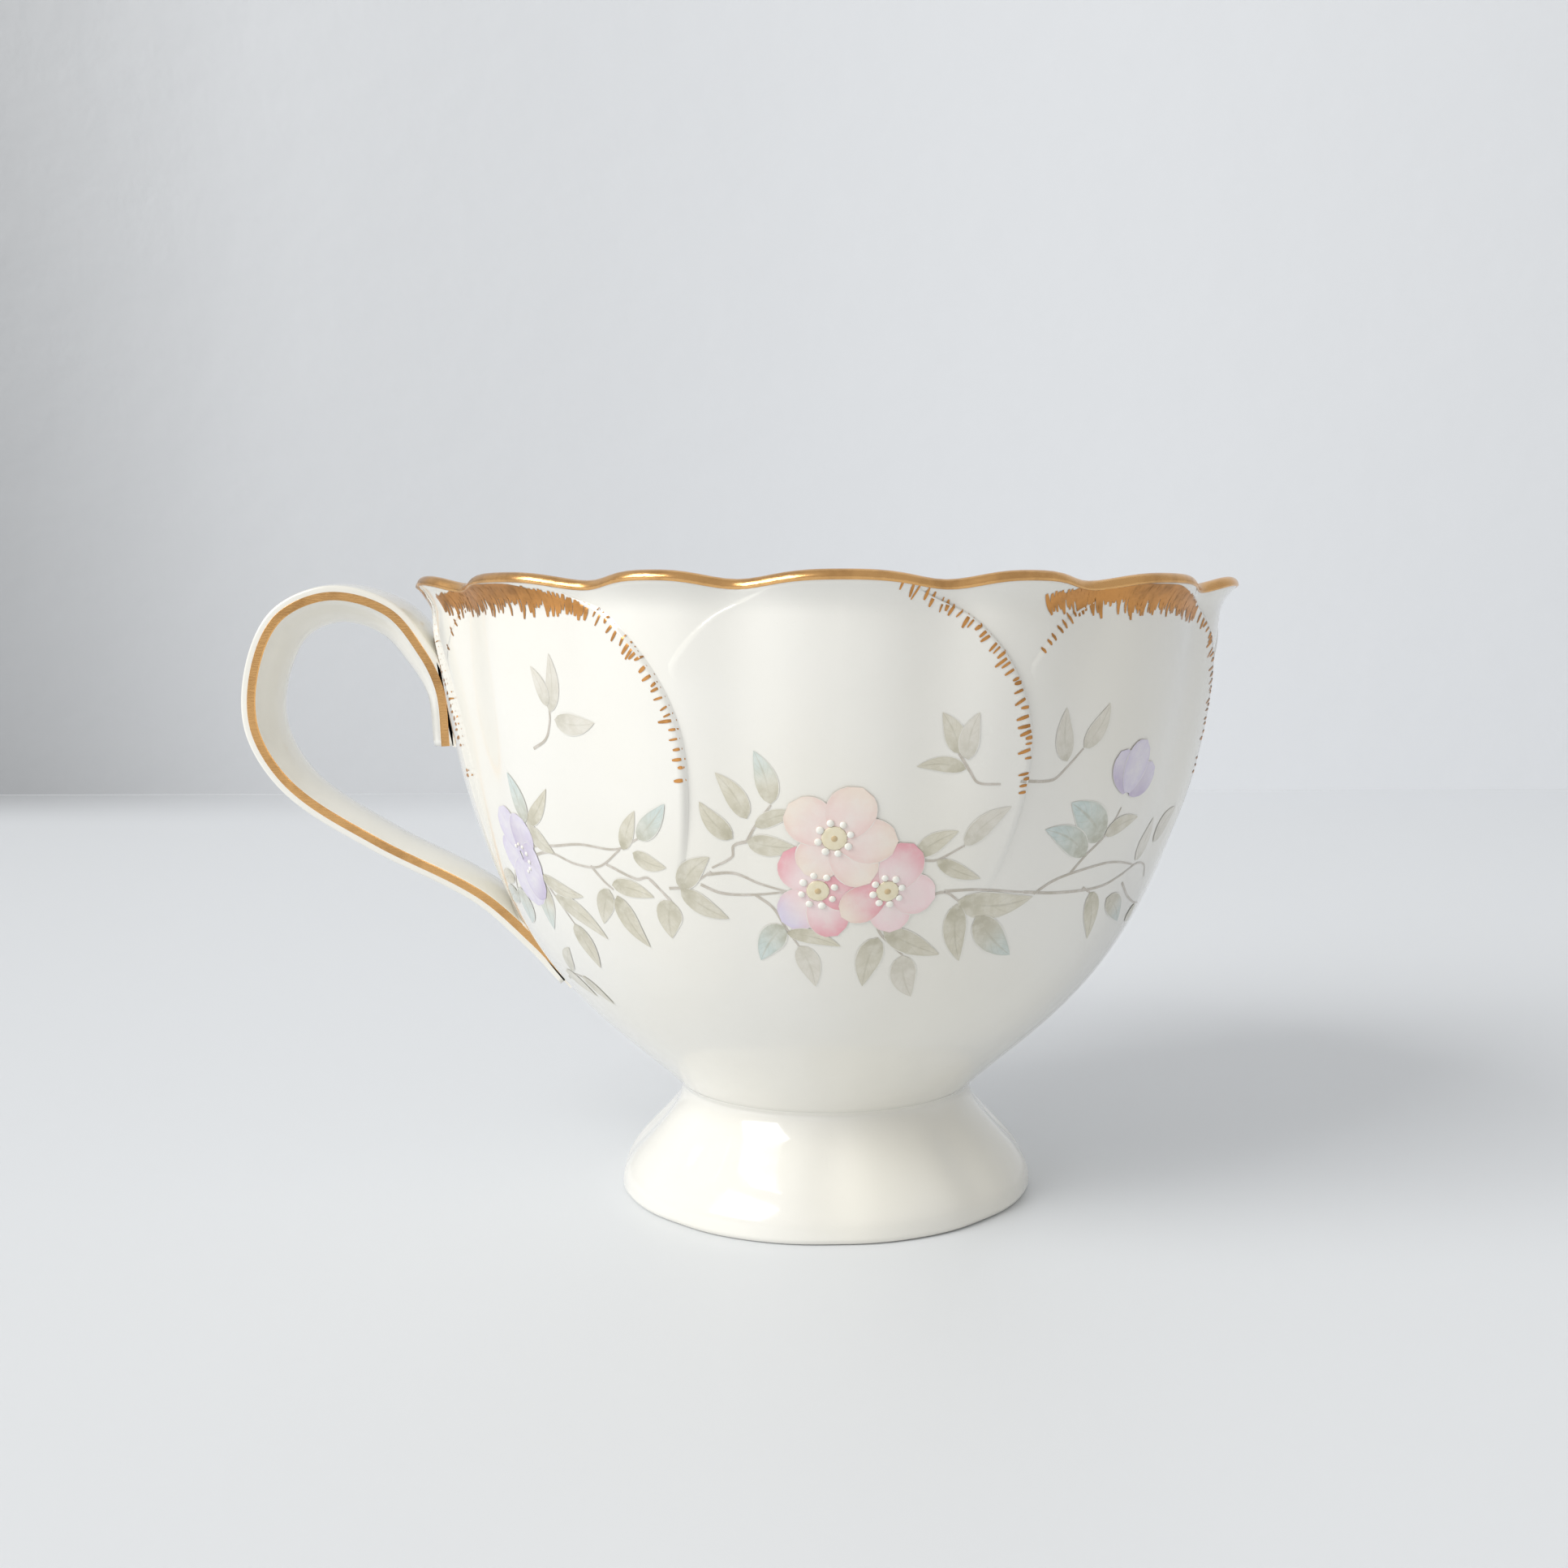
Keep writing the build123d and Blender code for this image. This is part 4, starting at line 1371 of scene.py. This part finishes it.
class TEACUP_OT_feathering(bpy.types.Operator):
    """Brushes the gold dashes and feathered crowns along the petals' edges"""

    bl_idname = "teacup.feathering"
    bl_label = "Gold feathering"

    def execute(self, context):
        size, colours = settings()
        canvas = Canvas()
        draw = random.Random(size.seed + 3)
        material = gold_material(colours, "brushed_gold", colours.brushed_gold, wear=0.8, roughness=0.3)
        for petal in range(PETALS):
            gilder = Gilder(canvas, draw, petal)
            crowned = petal % 2 == 1
            gilder.edge_dashes(CROWNED_FROM if crowned else DASHES_FROM)
            if crowned:
                gilder.far_dashes()
                gilder.crown()
            piece(f"gold_feathering_{petal}", gilder.bm, material)
        return {"FINISHED"}


# ---------------------------------------------------------------- the stage

TABLE_FRONT, TABLE_END, TABLE_HALF = -1.6, 0.475, 2.2
WALL_TOP = 1.6
TURN_RADIUS = 0.0004          # of the corner between table and wall
BLEND_DEPTH = 0.11            # how far the table takes on the wall's tone before the corner
# Painted shade that darkens the wall to the left: all dark at, all light at, and how dark.
PAINTED_SHADE_LEFT, PAINTED_SHADE_END = (-0.26, 0.18, 0.76), (-0.34, -0.17, 0.62)
WINDOW_PLACE = (-1.52, -1.00, 1.28)
WINDOW_SIDE = 1.3
WINDOW_WATTS = 35.0
ROOM_STRENGTH = 0.54
CUP_MIDDLE = (0, 0, 0.045)
CAMERA_DISTANCE, CAMERA_HEIGHT = 0.208, 0.06785
CAMERA_ROUND, CAMERA_TILT = radians(-2), radians(5.39)
LENS, SENSOR, SHIFT = 39.9, 36.0, -0.0267


class TEACUP_OT_stage(bpy.types.Operator):
    """Sets the table, the wall behind, the window light and the camera"""

    bl_idname = "teacup.stage"
    bl_label = "Stage"

    def table_and_wall_material(self, colours):
        """A table that goes over softly into a wall, with painted shade that darkens the wall towards its
        left end.
        """
        material, nodes, principled = new_material("table_and_wall_with_painted_shade", Roughness=0.42)
        place = nodes.add("ShaderNodeTexCoord").outputs["Object"]
        parts = nodes.add("ShaderNodeSeparateXYZ", {0: place}).outputs
        up = nodes.rise(parts[2], 0.0, TURN_RADIUS)
        away = nodes.rise(parts[1], TABLE_END - BLEND_DEPTH, TABLE_END, 0.0, 0.7)
        # Painted shade: the wall's colour, and with it the table's far end, is darkened towards the left.
        shade = nodes.times(nodes.rise(parts[0], *PAINTED_SHADE_LEFT), nodes.rise(parts[0], *PAINTED_SHADE_END))
        wall = nodes.mix(shade, (0, 0, 0, 1), rgba(colours.backdrop))
        tone = nodes.mix(nodes.math("MAXIMUM", up, away), rgba(colours.table), wall)
        nodes.tree.links.new(tone, principled.inputs["Base Color"])
        plaster = nodes.times(nodes.noise(28.0, 4.0, 0.6), up)
        bumped(nodes, principled, plaster, 0.35, 0.0015)
        return material

    def table_and_wall(self, colours):
        """One sheet: the table, a tight turn, and the wall."""
        bm = bmesh.new()
        profile = [(TABLE_FRONT, 0)]
        for step in range(13):
            turn = pi / 2 * step / 12
            profile.append((TABLE_END + TURN_RADIUS * sin(turn), TURN_RADIUS * (1 - cos(turn))))
        profile.append((TABLE_END + TURN_RADIUS, WALL_TOP))
        verts = [bm.verts.new((-TABLE_HALF, y, z)) for y, z in profile]
        edges = [bm.edges.new(pair) for pair in zip(verts, verts[1:])]
        grown = bmesh.ops.extrude_edge_only(bm, edges=edges)["geom"]
        moved = [item for item in grown if isinstance(item, bmesh.types.BMVert)]
        bmesh.ops.translate(bm, verts=moved, vec=(2 * TABLE_HALF, 0, 0))
        bmesh.ops.recalc_face_normals(bm, faces=bm.faces)
        mesh = bpy.data.meshes.new("table_and_wall")
        bm.to_mesh(mesh)
        bm.free()
        mesh.shade_smooth()
        mesh.materials.append(self.table_and_wall_material(colours))
        made = bpy.data.objects.new("table_and_wall", mesh)
        bpy.context.scene.collection.objects.link(made)

    def window(self):
        """A soft square window, up to the left in front, that faces the cup."""
        data = bpy.data.lights.new("window_left", "AREA")
        data.shape = "RECTANGLE"
        data.size, data.size_y = WINDOW_SIDE, WINDOW_SIDE
        data.energy, data.color = WINDOW_WATTS, (1.0, 1.0, 0.99)
        made = bpy.data.objects.new("window_left", data)
        made.location = WINDOW_PLACE
        facing = (Vector(CUP_MIDDLE) - Vector(WINDOW_PLACE)).to_track_quat("-Z", "Y")
        made.rotation_euler = facing.to_euler()
        bpy.context.scene.collection.objects.link(made)

    def room(self, scene):
        """Even light from the rest of the room."""
        world = bpy.data.worlds.new("room")
        world.use_nodes = True
        background = next(node for node in world.node_tree.nodes if node.type == "BACKGROUND")
        background.inputs["Color"].default_value = (1.0, 0.99, 0.97, 1)
        background.inputs["Strength"].default_value = ROOM_STRENGTH
        scene.world = world
        scene.view_settings.view_transform = "Standard"

    def camera(self, scene):
        """The camera, a little above the lip and looking down."""
        data = bpy.data.cameras.new("camera")
        data.lens, data.sensor_width, data.shift_x = LENS, SENSOR, SHIFT
        data.clip_start, data.clip_end = 0.01, 20
        made = bpy.data.objects.new("camera", data)
        out = CAMERA_DISTANCE
        made.location = (out * sin(CAMERA_ROUND), -out * cos(CAMERA_ROUND), CAMERA_HEIGHT)
        made.rotation_euler = (pi / 2 - CAMERA_TILT, 0, CAMERA_ROUND)
        scene.collection.objects.link(made)
        scene.camera = made

    def execute(self, context):
        scene = bpy.context.scene
        self.table_and_wall(settings()[1])
        self.window()
        self.room(scene)
        self.camera(scene)
        return {"FINISHED"}


# ---------------------------------------------------------------- panel and registration

STEPS = [
    TEACUP_OT_bowl,
    TEACUP_OT_foot,
    TEACUP_OT_handle,
    TEACUP_OT_joints,
    TEACUP_OT_rim,
    TEACUP_OT_feathering,
    TEACUP_OT_vines,
    TEACUP_OT_leaves,
    TEACUP_OT_blossoms,
    TEACUP_OT_enamel,
    TEACUP_OT_stage,
]


class TEACUP_PT_panel(bpy.types.Panel):
    """The teacup's steps, sizes and colours"""

    bl_idname = "TEACUP_PT_panel"
    bl_label = "Painted teacup"
    bl_space_type = "VIEW_3D"
    bl_region_type = "UI"
    bl_category = "Teacup"

    def draw(self, context):
        steps = self.layout.column(align=True)
        for step in STEPS:
            steps.operator(step.bl_idname)
        for title, group in zip(("Sizes", "Colours"), settings()):
            box = self.layout.box()
            box.label(text=title)
            for name in group.__annotations__:
                box.prop(group, name)


CLASSES = [TeacupSizes, TeacupColours, *STEPS, TEACUP_PT_panel]


def register():
    """Makes the sizes, the colours, the steps and the panel known."""
    for each in CLASSES:
        bpy.utils.register_class(each)
    bpy.types.Scene.teacup_sizes = PointerProperty(type=TeacupSizes)
    bpy.types.Scene.teacup_colours = PointerProperty(type=TeacupColours)


def unregister():
    """Takes them all away again."""
    del bpy.types.Scene.teacup_colours
    del bpy.types.Scene.teacup_sizes
    for each in reversed(CLASSES):
        bpy.utils.unregister_class(each)


def main():
    """Builds the teacup and its stage."""
    register()
    for step in STEPS:
        group, name = step.bl_idname.split(".")
        getattr(getattr(bpy.ops, group), name)()


if __name__ == "__main__":
    main()
